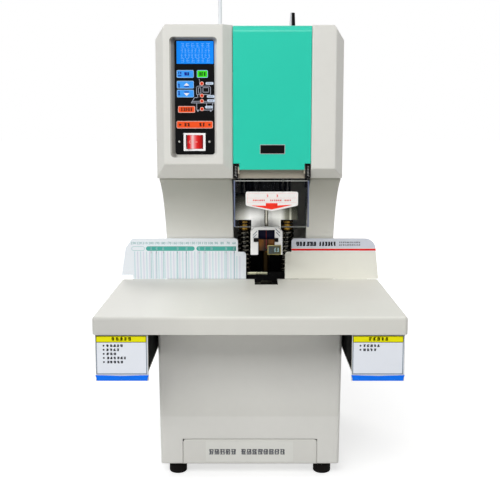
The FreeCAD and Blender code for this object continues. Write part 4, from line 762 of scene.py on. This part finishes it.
@dataclass
class Casework:
    """Sheet and cast parts whose edges are softened, and the finish of every other node."""

    soft: tuple[tuple[Finish, float, str], ...] = (
        (BASE_PAINTED_SHADING_COAT, 0.7, "base_casing"), (NECK_PAINTED_SHADE_COAT, 0.7, "neck_casing"),
        (TABLE_PAINTED_SHADE_COAT, 0.3, "table_top"), (CASING, 0.8, "head_shell_left head_shell_right"),
        (CASING, 0.5, "top_rear_panel chip_drawer"), (CASING, 0.4, "back_cover"),
        (FRAME_BLACK, 0.4, "box_housings back_stop"), (FRAME_BLACK, 0.6, "anvil_block"),
        (FRAME_BLACK, 0.8, "frame_bed frame_uprights frame_crown"), (GREEN, 0.8, "green_cover"),
        (LIP, 0.8, "center_lip"), (FILM, 0.4, "guide_plate_left"), (PLATE, 0.4, "guide_plate_right"),
        (BLACK, 0.5, "guard_arms"), (BLACK, 0.3, "power_inlet"), (ACRYLIC, 0.3, "guard_shield"),
        (WHITE, 0.5, "rocker_frame"), (ROCKER_PAINTED_HIGHLIGHT, 0.4, "rocker_button"), (YOKE, 0.6, "press_yoke"),
        (AMBER_PAINTED_HIGHLIGHTS, 0.5, "drill_guide"), (CROSSHEAD_PAINTED_SHADING, 0.9, "crosshead"), (ZINC, 0.4, "base_plate"),
        (HOUSING, 0.5, "spindle_housing"),
    )
    boxes: tuple[str, ...] = ("tool_box_left", "tool_box_right")
    box_face_back: float = -210.5
    corner: tuple[Span, ...] = ((126.6, 644.8), (117.4, 644.8), (117.4, 651.7), (121.3, 651.7))
    corner_y: float = 211.9
    corner_thick: float = 1.2
    plain: tuple[tuple[Finish, str], ...] = (
        (NICKEL, "hinge_pins cover_screws"), (RUBBER, "rubber_feet"), (BLACK_FILM, "control_panel"),
        (SCREEN, "lcd_screen"), (LAMP_RED, "panel_leds"), (BOARD, "control_board"),
        (BLUE_KEY, "key_menu key_up key_down"), (GREEN_KEY, "key_start"), (ORANGE, "key_stop"),
        (SIGN, "pointer_sign"), (COLUMN, "guide_columns"), (SCREW_BRONZE, "lift_screw"),
        (MOTOR, "lift_motor drill_motor"), (BUSH, "crosshead_bushes"), (DRILL_PAINTED_HIGHLIGHT, "drill_bit"),
        (BEARING, "drill_spindle spindle_bearings"), (ALLOY, "motor_pulley"), (BELT, "drill_belt"),
        (CROSSHEAD_PAINTED_SHADING, "press_stem"), (PAD_DARK, "drill_pad"), (NYLON, "nylon_tube"),
        (GRIP_PAINTED_HIGHLIGHT, "clearing_pin"),
    )

    def build(self) -> None:
        """Softens the edges of the sheet and cast parts and dresses the other nodes."""
        for finish, edge, nodes in self.soft:
            for node in nodes.split():
                self.soften(node, finish, edge)
        for node in self.boxes:
            self.darken_tray(self.soften(node, CASING, 0.4))
        for finish, nodes in self.plain:
            for node in nodes.split():
                source = frame["nodes"][node]
                source.data.materials.clear()
                source.data.materials.append(finish.material())
                LOG.info("%s is dressed in %s", node, finish.name)
        corners = Shape()
        for side in (1, -1):
            points = [(x * side, z) for x, z in self.corner[::side]]
            corners.polygon(points, self.corner_y, self.corner_thick)
        corners.piece("back_cover_corners", CASING)

    def darken_tray(self, box: bpy.types.Object) -> None:
        """Makes a tool box black behind its face."""
        box.data.materials.append(BLACK.material())
        for side in box.data.polygons:
            side.material_index = int(side.center.y > self.box_face_back * MM)

    def soften(self, node: str, finish: Finish, edge: float) -> bpy.types.Object:
        """Copies a node with soft edges, which then stands for it.

        Args:
            node: The CAD node.
            finish: What it is made of.
            edge: The width of its softened edges.

        Returns:
            The piece.
        """
        source = frame["nodes"][node]
        slot = source.data.materials[0].name if source.data.materials else None
        copy = bmesh.new()
        copy.from_mesh(source.data)
        bmesh.ops.remove_doubles(copy, verts=copy.verts, dist=WELD * MM)
        bmesh.ops.dissolve_limit(copy, angle_limit=FLAT_WITHIN, verts=copy.verts,
                                 edges=copy.edges)
        shape = Shape(copy, copied=True)
        return shape.piece(node + "_soft", finish, source["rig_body"], slot, (node,), edge)


@dataclass
class ControlPanel:
    """The printed film, its screen, keys and rocker."""

    face: float = -67.5
    key_face: float = -68.5
    screen_face: float = -68.2
    screen_x: Span = (-99.2, -56.2)
    screen_rows: tuple[tuple[float, float, int, int], ...] = (
        (621.6, 627.0, 6, 1), (614.4, 619.4, 9, 2), (607.2, 612.2, 9, 3), (600.6, 605.8, 6, 4))
    lamp_x: float = -69.2
    lamp_heights: tuple[float, ...] = (570.6, 553.5, 545.8, 534.5)
    tag_spots: tuple[Span, ...] = ((-63.8, 570.8), (-62.2, 552.4), (-61.8, 546.4), (-64.8, 537.2))
    opening_x: Span = (-108.1, -51.0)
    opening_z: Span = (469.1, 631.9)
    opening_corner: float = 4.0
    slopes: Span = (5.0, 3.0)
    strip_x: Span = (-106.1, -53.6)
    strip_z: Span = (506.8, 517.4)
    key_faces: tuple[tuple[str, Span, Span], ...] = (
        ("key_menu", (-105.0, -80.6), (578.7, 589.5)), ("key_start", (-76.2, -60.4), (578.7, 589.5)),
        ("key_up", (-105.0, -80.6), (563.6, 574.4)), ("key_down", (-105.0, -80.6), (551.0, 561.8)),
        ("key_stop", (-103.6, -79.2), (529.2, 538.6)))
    arrows: tuple[tuple[str, float, float, float], ...] = (
        ("key_up", 567.6, 571.6, 566.0), ("key_down", 557.0, 553.0, 558.6))
    screw_x: Span = (-102.4, -58.7)
    screw_z: float = 487.5
    outlines: tuple[tuple[Span, ...], ...] = (
        ((-76.7, 555.2), (-76.7, 565.4), (-75.2, 566.9), (-58.4, 566.9), (-56.7, 565.2),
         (-56.7, 555.2), (-76.7, 555.2)),
        ((-74.0, 557.0), (-70.6, 557.0), (-70.6, 564.6), (-74.0, 564.6), (-74.0, 557.0)),
        ((-67.6, 558.4), (-59.4, 558.4), (-59.4, 564.8), (-67.6, 564.8), (-67.6, 558.4)),
        ((-75.6, 555.2), (-74.8, 550.7), (-59.2, 550.7), (-58.4, 555.2)),
        ((-79.8, 550.7), (-51.6, 550.7), (-50.2, 543.2), (-84.4, 543.2), (-79.8, 550.7)),
        ((-82.4, 545.4), (-52.0, 545.4)),
        ((-76.7, 543.2), (-76.7, 533.0), (-53.8, 533.0), (-53.8, 543.2)),
        ((-63.0, 543.2), (-62.0, 536.4), (-56.0, 536.4)),
    )
    word_rows: tuple[tuple[str, Finish, tuple[Row, ...]], ...] = (
        ("key_menu", NAVY_INK, (((-103.2, -98.0), (584.4, 587.0), 2, 7, 0.3),
                                ((-103.2, -98.0), (580.8, 583.0), 2, 8, 0.3),
                                ((-94.4, -86.4), (582.0, 586.4), 2, 9, 0.32))),
        ("key_start", DEEP_GREEN_INK, (((-73.4, -63.6), (581.6, 586.6), 3, 10, 0.28),)),
        ("key_stop", BROWN_INK, (((-99.8, -82.8), (531.4, 536.4), 5, 11, 0.26),)),
    )

    def build(self) -> None:
        """Builds all that is on the panel."""
        self.lining()
        self.screen()
        self.strip()
        self.keys()
        self.mimic()
        self.lamps()
        self.rocker_marks()
        self.screws()

    def lining(self) -> None:
        """Builds the rounded slope that runs round the sunk panel; its finish carries painted shade.
        """
        slope, loops, (wide, narrow) = Shape(), [], self.slopes
        (left, right), (low, high) = self.opening_x, self.opening_z
        visible = ((0.0, self.face - 0.02), (0.3, -69.6), (0.7, -72.3), (0.92, -73.6),
                   (1.08, -74.05), (1.3, -74.12))
        hidden = ((1.3, -73.9), (0.96, -73.2), (0.72, -71.8), (0.32, -69.2), (0.06, -67.3))
        for out, y in visible + hidden:
            before = set(slope.bm.edges)
            faces = slope.leaf((left - wide * out, right + narrow * out),
                               (low - narrow * out, high + narrow * out),
                               y, self.opening_corner + out)
            bmesh.ops.delete(slope.bm, geom=faces, context="FACES_ONLY")
            loops.append([edge for edge in slope.bm.edges if edge not in before])
        for near, far in zip(loops, loops[1:] + loops[:1]):
            bmesh.ops.bridge_loops(slope.bm, edges=near + far)
        slope.piece("recess_lining_painted_shade", LINING_PAINTED_SHADE)

    def screen(self) -> None:
        """Builds the rows of dots on the screen."""
        dots = Shape()
        for low, high, count, seed in self.screen_rows:
            dots.marks(self.screen_face, (self.screen_x, (low, high), count, seed, 0.075))
        dots.piece("screen_dots", SCREEN_DOTS, "frame", "screen")

    def strip(self) -> None:
        """Builds the orange strip above the rocker."""
        x, z, top = self.strip_x, self.strip_z, self.face - INK
        Shape().plate(x, z, self.face, corner=2.2).piece("strip_field", ORANGE)
        Shape().plate(x, z, top, INK / 2, 2.2, 0.7).piece("strip_edge", PEACH_INK)
        ink = Shape()
        for end in (-101.0, -58.6):
            ink.dot((end, top, 512.1), 1.7, 16)
        for word, seed in (((-95.4, -86.2), 5), ((-73.8, -64.6), 6)):
            ink.marks(top, (word, (509.8, 514.6), 2, seed, 0.28))
        ink.piece("strip_marks", BROWN_INK)

    def keys(self) -> None:
        """Builds what is printed on the keys, each on its own key."""
        y = self.key_face
        for key, x, z in self.key_faces:
            edge = Shape().plate(x, z, y, INK, 1.6, 0.7)
            edge.piece(key + "_edge", PEACH_INK if key == "key_stop" else KEY_EDGE_INK, key)
        for key, finish, rows in self.word_rows:
            Shape().marks(y, *rows).piece(key + "_marks", finish, key)
        for key, low, tip, bar in self.arrows:
            arrow = Shape().polygon([(-95.0, low), (-87.0, low), (-91.0, tip)], y)
            arrow.piece(key + "_arrow", SIGN, key)
            ink = Shape().block((-94.2, -87.8), raised(y), about(bar, 0.6))
            ink.marks(y, ((-103.8, -99.4), about(low, 2.6), 1, 12, 0.2))
            ink.piece(key + "_marks", NAVY_INK, key)

    def mimic(self) -> None:
        """Builds the line drawing of a machine."""
        lines = Shape().stroke([(-72.9, 577.0), (-72.0, 567.4)], self.face, 0.5)
        for outline in self.outlines:
            lines.stroke(outline, self.face, 0.75)
        for foot in (-75.2, -56.6):
            lines.polygon([(foot, 530.2), (foot + 1.7, 532.8), (foot - 1.7, 532.8)], self.face)
        lines.piece("mimic_lines", MIMIC_INK)

    def lamps(self) -> None:
        """Builds the lamps' rings and rims and their blank tags."""
        rings, rims, tags, ink = Shape(), Shape(), Shape(), Shape()
        for height, (left, middle) in zip(self.lamp_heights, self.tag_spots):
            rings.ring((self.lamp_x, self.face, height), 1.45, 2.1, 0.3)
            rims.ring((self.lamp_x, self.face, height), 2.0, 2.9, 0.2)
            tags.plate((left, left + 11.4), about(middle, 1.9), self.face, INK * 2, 1.88)
            ink.marks(self.face - INK * 2,
                      ((left + 2.4, left + 9.0), about(middle, 0.8), 3, 13, 0.2))
        rings.piece("lamp_rings", ORANGE)
        rims.piece("lamp_rims", PEACH_INK)
        tags.piece("lamp_tags", PILL_INK)
        ink.piece("lamp_tag_marks", GREY_INK)

    def rocker_marks(self) -> None:
        """Builds the ring and the bar on the rocker's tilted face, which say off and on."""
        shape, carrier = Shape().ring((-86.0, 0, 487.3), 1.5, 2.1, INK), bmesh.new()
        shape.block((-79.2, -76.0), raised(0.0), (486.9, 487.7))
        carrier.from_mesh(frame["nodes"]["rocker_button"].data)
        tree = BVHTree.FromBMesh(carrier)
        carrier.free()
        for vert in shape.bm.verts:
            start = Vector((vert.co.x * MM, -1.0, vert.co.z * MM))
            hit = tree.ray_cast(start, Vector((0, 1, 0)))[0]
            if hit is not None:
                vert.co.y += hit.y / MM
        shape.piece("rocker_marks", PEACH_INK, "rocker")

    def screws(self) -> None:
        """Builds the two small screws beside the rocker."""
        heads, slots = Shape(), Shape()
        profile = [(0, 0.9), (0.8, 0.8), (1.4, 0.45), (1.6, 0), (1.6, -SUNK), (0, -SUNK)]
        for x in self.screw_x:
            heads.lathe(profile, (x, self.face, self.screw_z), TO_FRONT, 20)
            for turn in (0.6, 0.6 + math.pi / 2):
                slots.block(about(x, 1.0), (self.face - 0.95, self.face - 0.6),
                            about(self.screw_z, 0.2), turn=Matrix.Rotation(turn, 4, "Y"))
        heads.piece("panel_screws", ZINC)
        slots.piece("panel_screw_slots", DARK_INK)


@dataclass
class Cover:
    """The bare badge on the green cover."""

    face: float = -64.0
    badge_x: Span = (14.5, 50.9)
    badge_z: Span = (469.8, 483.4)

    def build(self) -> None:
        """Builds the badge."""
        plate = Shape().plate(self.badge_x, self.badge_z, self.face, 0.6, 0.8)
        plate.piece("badge_plate", BLACK_FILM, "cover")
        rim = Shape().plate(self.badge_x, self.badge_z, self.face - 0.6, 0.2, 0.8, 0.6)
        rim.piece("badge_rim", NICKEL, "cover")


@dataclass
class Guard:
    """The printed sign on the clear guard and the ends of its pivots."""

    face: float = -58.8
    front: float = -58.0
    sides: Span = (-23.9, 86.9)
    height: Span = (362.0, 431.0)
    dots_x: Span = (-3.6, 68.4)
    dots_z: Span = (398.6, 411.8)
    dots_middle: float = 405.2
    pitch: float = 1.6
    word_rows: tuple[Row, ...] = (
        ((24.2, 27.0), (406.6, 410.2), 1, 20, 0.2), ((38.6, 41.8), (406.6, 410.2), 1, 21, 0.2),
        ((4.0, 22.6), (400.6, 402.8), 6, 22, 0.3), ((29.0, 47.0), (400.6, 402.8), 6, 23, 0.3),
        ((50.6, 61.0), (400.6, 402.8), 4, 24, 0.3))

    def build(self) -> None:
        """Builds the print, the painted highlights on the clear sheet's edges and the pivot screws.
        """
        self.sheet_edges()
        self.pivots()
        red = Shape().block((23.3, 40.6), raised(self.face), (393.4, 397.6))
        red.polygon([(3.0, 394.2), (32.0, 393.6), (61.0, 395.2), (61.6, 394.9), (32.0, 388.2),
                     (2.3, 393.9)], self.face)
        self.dotted(red)
        red.marks(self.face, *self.word_rows).piece("sign_ink", SIGN_RED, "guard")

    def sheet_edges(self) -> None:
        """Builds pale strips on the clear sheet's cut edges, painted highlights for the light that
        they catch.
        """
        edges, lines, y = Shape(), Shape(), raised(self.front)
        (left, right), (low, high) = self.sides, self.height
        for x in ((left, left + 1.9), (right - 1.9, right)):
            edges.block(x, y, self.height)
        edges.piece("guard_edge_highlights", ACRYLIC_EDGE_HIGHLIGHT, "guard")
        for z in ((high - 1.3, high), (low, low + 0.7)):
            lines.block((left + 2.2, right - 2.2), y, z)
        lines.piece("guard_line_highlights", ACRYLIC_LINE_HIGHLIGHT, "guard")

    def pivots(self) -> None:
        """Builds the threaded pins in front of the two arms."""
        threads = Shape()
        for x in (-20.9, 84.9):
            threads.coil((x, -60.6, 437.0), 1.3, 0.45, 15.0, 7, 14, 6)
        threads.piece("guard_pins", NICKEL, "guard")

    def dotted(self, shape: Shape) -> None:
        """Adds the sign's dotted frame and its middle line.

        Args:
            shape: The shape that gets the dots.
        """
        (left, right), (low, high) = self.dots_x, self.dots_z
        for level in (low, self.dots_middle, high):
            for index in range(int((right - left) / self.pitch)):
                start = left + self.pitch * index
                shape.block((start, start + 0.7), raised(self.face), about(level, 0.12))
        for side in (left, right):
            for index in range(int((high - low) / self.pitch)):
                start = low + self.pitch * index
                shape.block(about(side, 0.12), raised(self.face), (start, start + 0.7))


@dataclass
class Throat:
    """The springs, the beads of the bushes, and what is fixed to the yoke and its guide."""

    columns: Span = (-9.5, 61.5)
    column_y: float = 100.0
    yoke_face: float = 24.0

    def build(self) -> None:
        """Builds all that is in the throat."""
        self.springs()
        self.beads()
        self.yoke()

    def springs(self) -> None:
        """Builds the coil springs."""
        coils = Shape()
        for x in self.columns:
            coils.coil((x, self.column_y, 241.3), 9.2, 2.2, 95.4, 13)
        made = coils.piece("column_coils", SPRING, "frame", "spring_steel", ("column_springs",))
        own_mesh(made)
        low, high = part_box("press_spring")
        middle = (low + high) / (2 * MM)
        small = Shape().coil((middle.x, middle.y, low.z / MM + 1.3), 6.6, 1.2,
                             (high.z - low.z) / MM - 2.6, 12, 18, 8)
        made = small.piece("press_coil", NICKEL, "crosshead", "spring_steel", ("press_spring",))
        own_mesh(made)

    def beads(self) -> None:
        """Builds the brass rings on the bushes' collars."""
        rings = Shape()
        bead = [(8.9, 0.2), (9.5, 0.9), (9.75, 2.4), (9.5, 3.9), (8.9, 4.6), (8.9, 0.2)]
        for x in self.columns:
            for level in (339.0, 344.6, 350.2):
                rings.lathe(bead, (x, self.column_y, level))
        rings.piece("bush_beads", BRASS, "crosshead", "bush_brass")

    def yoke(self) -> None:
        """Builds the yoke's clamps, bracket, painted red light line, painted shade plate and slots,
        and the stop's bar.
        """
        y = self.yoke_face
        clamps = Shape()
        for x in ((5.8, 13.2), (38.8, 44.4)):
            clamps.block(x, (y - 2.2, y + 1), (328.9, 334.9), 0.5)
        clamps.piece("yoke_clamps", BLACK, "press_foot")
        bracket = Shape().block((27.4, 48.8), raised(y, 3.0), (308.2, 324.0), 1.1)
        bracket.piece("yoke_bracket", PLATE_GOLD, "press_foot")
        inset = Shape().plate((29.0, 47.6), (310.0, 322.8), y - 3.0, 0.25, 1.0)
        inset.piece("bracket_inset", BRACKET, "press_foot")
        ink = Shape().marks(y - 3.2, ((37.6, 46.4), (313.4, 319.6), 2, 40, 0.16))
        ink.piece("bracket_marks", PALE_TEAL_INK, "press_foot")
        # A thin dark-red streak of painted light down the yoke's window.
        line = Shape().block((25.1, 26.3), (y + 2.2, y + 3.2), (317.6, 332.4))
        line.block((25.1, 26.3), (35.7, 36.2), (332.4, 347.6))
        line.piece("painted_light_line", RED_PAINTED_LIGHT, "press_foot")
        # A dark navy plate behind the yoke's window, painted shade that makes the window read dark.
        shade = Shape().block((9.0, 42.0), (35.9, 37.4), (332.6, 350.5), 0.5)
        shade.piece("foot_painted_shade", NAVY_PAINTED_SHADE, "press_foot")
        bar = Shape().block((-4.8, 28.8), (86.4, 87.6), (265.0, 269.9), 0.55)
        bar.piece("stop_bar", BRONZE_BAR)
        slots = Shape()
        for ends in ([(5.0, 339.4), (10.6, 345.4)], [(5.4, 335.8), (10.0, 340.4)],
                     [(40.4, 349.2), (46.2, 343.4)], [(41.6, 343.6), (46.8, 338.0)]):
            slots.stroke(ends, y, 1.1)
        slots.piece("yoke_slots", GREY_INK, "press_foot")


@dataclass
class Table:
    """What is printed on the two guide plates."""

    face: float = 71.0
    first: float = -190.1
    last: float = -26.0
    numbers: int = 18
    number_z: float = 318.4
    digit: float = 4.0
    band_z: Span = (307.6, 315.0)
    words: tuple[float, ...] = (-161.2, -152.2, -141.2, -117.9, -103.5, -82.9, -73.2, -62.8,
                                -38.9, -26.6)
    ticks: tuple[float, ...] = (-161.2, -152.2, -141.2, -117.9, -103.5, -82.9, -73.2, -38.9,
                                -25.2)
    pale_lines: int = 36
    pale_first: float = -188.0
    pale_pitch: float = 4.9
    label_rows: tuple[Row, ...] = (
        ((74.4, 108.0), (315.6, 322.6), 6, 74, 0.3), ((112.0, 140.4), (315.6, 322.6), 6, 112, 0.3),
        ((145.0, 180.0), (316.0, 318.4), 12, 316, 0.24),
        ((145.0, 180.0), (320.2, 322.6), 12, 320, 0.24))

    def build(self) -> None:
        """Builds the ruler and the label."""
        self.bands()
        self.lines()
        self.label()

    def bands(self) -> None:
        """Builds the numbers and bands on the left plate."""
        numbers, count = Shape(), self.numbers
        for index in range(count):
            x = self.first + (self.last - self.first) * index / (count - 1)
            text = str(10 * (count + 5 - index))
            numbers.number(text, x, self.number_z, self.face, self.digit)
        numbers.piece("ruler_numbers", TEAL_GREY_INK)
        bands = Shape().plate((-169.5, -90.2), self.band_z, self.face, corner=3.6)
        bands.plate((-87.3, -22.8), self.band_z, self.face, corner=3.6)
        bands.block((-30.0, -22.8), raised(self.face), self.band_z)
        open_band = Shape().plate((-193.0, -171.6), (307.8, 314.8), self.face, INK, 3.2, 0.55)
        open_band.piece("ruler_open_band", MID_TEAL_INK)
        bands.piece("ruler_bands", TEAL_INK)
        pale = Shape()
        for seed, x in enumerate(self.words, 1):
            pale.marks(self.face - INK, ((x - 2.2, x + 2.6), (309.4, 313.2), 1, seed, 0.14))
        pale.piece("band_marks", PALE_TEAL_INK)

    def lines(self) -> None:
        """Builds the upright lines on the left plate."""
        teal, lilac, ticks, long = Shape(), Shape(), Shape(), Shape()
        near, far = raised(self.face)
        for index in range(self.pale_lines):
            x = self.pale_first + self.pale_pitch * index
            lines = lilac if index % 2 else teal
            lines.block(about(x, 0.45), (near, far), (261.4, 306.6 if x < -22 else 299.0))
        teal.piece("ruler_teal_lines", PALE_TEAL_INK)
        lilac.piece("ruler_lilac_lines", PALE_LILAC_INK)
        for x in self.ticks:
            ticks.block(about(x, 0.45), (near - INK, far), (303.6, 307.0))
            long.block(about(x, 0.4), (near - INK / 2, far), (262.0, 304.0))
        ticks.piece("ruler_ticks", GREY_INK)
        long.piece("ruler_long_lines", MID_TEAL_INK)

    def label(self) -> None:
        """Builds the label along the top of the right plate."""
        node, y = "guide_plate_right", self.face
        Shape().skin(node, y, 312.0).piece("plate_label", LABEL_BLUE)
        Shape().skin(node, y, 305.6, 312.4, INK * 0.8).piece("label_margin", SIGN)
        Shape().skin(node, y, 308.0, 311.2, INK * 1.6).piece("label_red_line", RED_INK)
        ink = Shape().marks(y - INK, *self.label_rows)
        ink.piece("label_marks", DARK_INK)


@dataclass
class ToolBoxes:
    """The labels and blue pulls of the two side boxes, and the skirts beside them."""

    face: float = -212.0
    label_z: Span = (181.6, 235.4)
    header_z: Span = (226.6, 234.6)
    wall: float = 138.1
    wall_y: Span = (-209.4, -10.0)
    first_row: float = 219.6
    row_pitch: float = 5.6
    word: float = 4.6

    def build(self) -> None:
        """Builds both boxes' labels, pulls and skirts."""
        self.box("tool_box_left", (-205.8, -136.6), 5, 30)
        self.box("tool_box_right", (136.6, 205.8), 2, 50)

    def box(self, body: str, x: Span, rows: int, seed: int) -> None:
        """Builds one box's label, pull and skirt.

        Args:
            body: The box's body.
            x: The label's reach along X.
            rows: How many lines of marks it has.
            seed: Sets the marks' strokes.
        """
        (left, right), middle = x, sum(x) / 2
        y, top = self.face, self.face - INK
        for name, finish, *sizes in (
                ("_label", LABEL_WHITE, x, self.label_z, y, INK, 1.0),
                ("_header", YELLOW, (left + 1, right - 1), self.header_z, top),
                ("_label_edge", GREY_INK, (left + 0.2, right - 1.0), (182.0, 235.0), top, INK,
                 0.6, 1.2),
                ("_header_edge", OLIVE_INK, (left + 0.4, right - 1.2), (225.8, 235.0),
                 y - INK * 2, INK, 0, 0.8)):
            Shape().plate(*sizes).piece(body + name, finish, body)
        ink = Shape().marks(top, (about(middle, 13.6), (228.3, 233.0), 5, seed, 0.28))
        for row in range(rows):
            level = self.first_row - self.row_pitch * row
            ink.dot((left + 10.6, top, level + 1.7), 1.25, 12)
            count = 3 + (seed + row * 7) % 4
            words = (left + 14.0, left + 14.0 + self.word * count)
            ink.marks(top, (words, (level, level + 3.4), count, seed + row, 0.3))
        ink.piece(body + "_label_marks", DARK_INK, body)
        pull = Shape().polygon([
            (left + 0.6, 173.2), (right - 0.6, 173.2), (right - 0.6 + 0.4, 177.4),
            (right + 1.4, 181.0), (middle, 179.9), (left - 1.4, 181.0),
            (left + 0.6 - 0.4, 177.4)], y, 1.6)
        pull.piece(body + "_pull", PULL_BLUE, body, edge=0.5)
        near = math.copysign(self.wall, middle)
        skirt = Shape().block(about(near, 0.75), self.wall_y, (183.0, 236.2))
        skirt.piece(body + "_skirt", SKIRT)
        foot = Shape().block(about(near, 0.95), self.wall_y, (181.8, 184.6), 0.4)
        foot.piece(body + "_skirt_foot", ZINC)


@dataclass
class Drawer:
    """The label on the chip drawer's front."""

    face: float = -115.0
    thick: float = 0.25

    def build(self) -> None:
        """Builds the label and its marks."""
        label = Shape().plate((-64.8, 63.2), (21.6, 52.4), self.face, self.thick, 1.0)
        label.piece("drawer_label", LABEL_CASING, "chip_drawer")
        ink = Shape()
        for left, right, count in ((-60.6, -20.0, 5), (-13.6, 52.0, 8)):
            for cells, z, seed in ((count, (32.6, 40.8), 60), (count * 2, (32.6, 36.6), 62),
                                   (count * 2, (37.0, 40.8), 64)):
                ink.marks(self.face - self.thick,
                          ((left, right), z, cells, seed + count, 1.0 / (z[1] - z[0])))
        ink.piece("drawer_marks", DRAWER_INK, "chip_drawer")


@dataclass
class Studio:
    """The floor, the light and the camera, in metres, degrees and watts."""

    eye: Point = (0.0, -1.3805, 0.5202)
    look_up: float = 81.72
    lens: float = 64.8
    sensor: float = 36.0
    world_level: float = 0.26
    floor_size: float = 20.0
    floor_tone: float = 0.62
    floor_glow: Span = (0.6, 0.94)
    glow_reach: Span = (0.45, 1.6)
    lamps: tuple[tuple[str, Point, Point, float, float], ...] = (
        ("left", (-1.5, -1.96, 2.0), (0, 0, 0.35), 1.6, 24.5),
        ("front", (-0.25, -2.5, 2.05), (0, 0, 0.35), 1.2, 36.0),
        ("top", (-0.1, -0.75, 3.1), (0, 0, 0.35), 1.4, 8.0),
        ("right", (2.3, 0.4, 1.5), (0, 0, 0.35), 1.4, 7.0),
        ("back", (-0.8, 2.2, 1.9), (0, 0.1, 0.4), 1.4, 24.0))

    def build(self) -> None:
        """Builds the floor, world, lamps and camera."""
        self.floor()
        self.world()
        for lamp in self.lamps:
            self.lamp(*lamp)
        self.camera()
        bpy.context.scene.view_settings.view_transform = "Standard"

    def seen(self, web: Web) -> bpy.types.Node:
        """Adds a value that is 1 for what the eye, gloss and glass see.

        Args:
            web: The nodes to add it to.

        Returns:
            The value.
        """
        path = web.add("LightPath").outputs
        first = web.add("Math", {0: path["Is Camera Ray"], 1: path["Is Glossy Ray"]},
                        operation="MAXIMUM")
        return web.add("Math", {0: first, 1: path["Is Transmission Ray"]}, operation="MAXIMUM")

    def floor(self) -> None:
        """Builds the white floor, which keeps the machine's shadow."""
        shape = bmesh.new()
        bmesh.ops.create_grid(shape, x_segments=1, y_segments=1, size=self.floor_size)
        mesh = bpy.data.meshes.new("floor")
        shape.to_mesh(mesh)
        shape.free()
        made = linked("floor", mesh)
        material = bpy.data.materials.new("floor_white")
        material.use_nodes = True
        web = Web(material.node_tree)
        diffuse = web.add("BsdfDiffuse", {"Color": (*(self.floor_tone,) * 3, 1.0)})
        place = web.add("TexCoord").outputs["Object"]
        away = web.add("VectorMath", {0: place}, operation="LENGTH").outputs["Value"]
        (near, far), (low, high) = self.glow_reach, self.floor_glow
        glow = web.add("MapRange", {"Value": away, "From Min": near, "From Max": far,
                                    "To Min": low, "To Max": high})
        light = web.add("Math", {0: self.seen(web), 1: glow}, operation="MULTIPLY")
        both = web.add("AddShader", {0: diffuse, 1: web.add("Emission", {"Strength": light})})
        web.feed(web.tree.nodes["Material Output"], {"Surface": both})
        mesh.materials.append(material)

    def world(self) -> None:
        """Makes the world a plain light that looks white."""
        world = bpy.data.worlds.new("studio")
        bpy.context.scene.world = world
        world.use_nodes = True
        web = Web(world.node_tree)
        level = web.add("MapRange", {"Value": self.seen(web), "To Min": self.world_level,
                                     "To Max": 1.0})
        web.feed(web.tree.nodes["Background"], {"Color": (1.0, 1.0, 1.0, 1.0), "Strength": level})

    def lamp(self, name: str, place: Point, aim: Point, size: float, power: float) -> None:
        """Adds a soft square lamp.

        Args:
            name: The lamp's name.
            place: Where it stands.
            aim: What it points at.
            size: The length of its side.
            power: Its power.
        """
        light = bpy.data.lights.new(name, "AREA")
        light.size, light.energy = size, power
        lamp = linked(name, light)
        lamp.location = place
        away = Vector(place) - Vector(aim)
        lamp.rotation_euler = away.to_track_quat("Z", "Y").to_euler()

    def camera(self) -> None:
        """Makes the camera."""
        data = bpy.data.cameras.new("camera")
        data.lens, data.sensor_width = self.lens, self.sensor
        camera = linked("camera", data)
        camera.location = self.eye
        camera.rotation_euler = (math.radians(self.look_up), 0, 0)
        bpy.context.scene.camera = camera


def main() -> None:
    """Builds the machine's looks and the studio."""
    logging.basicConfig(level=logging.INFO, format="%(name)s: %(message)s")
    for part in (Studio(), Casework(), ControlPanel(), Cover(), Guard(), Throat(), Table(),
                 ToolBoxes(), Drawer()):
        part.build()
        LOG.info("%s is built", type(part).__name__)


if __name__ == "__main__":
    main()
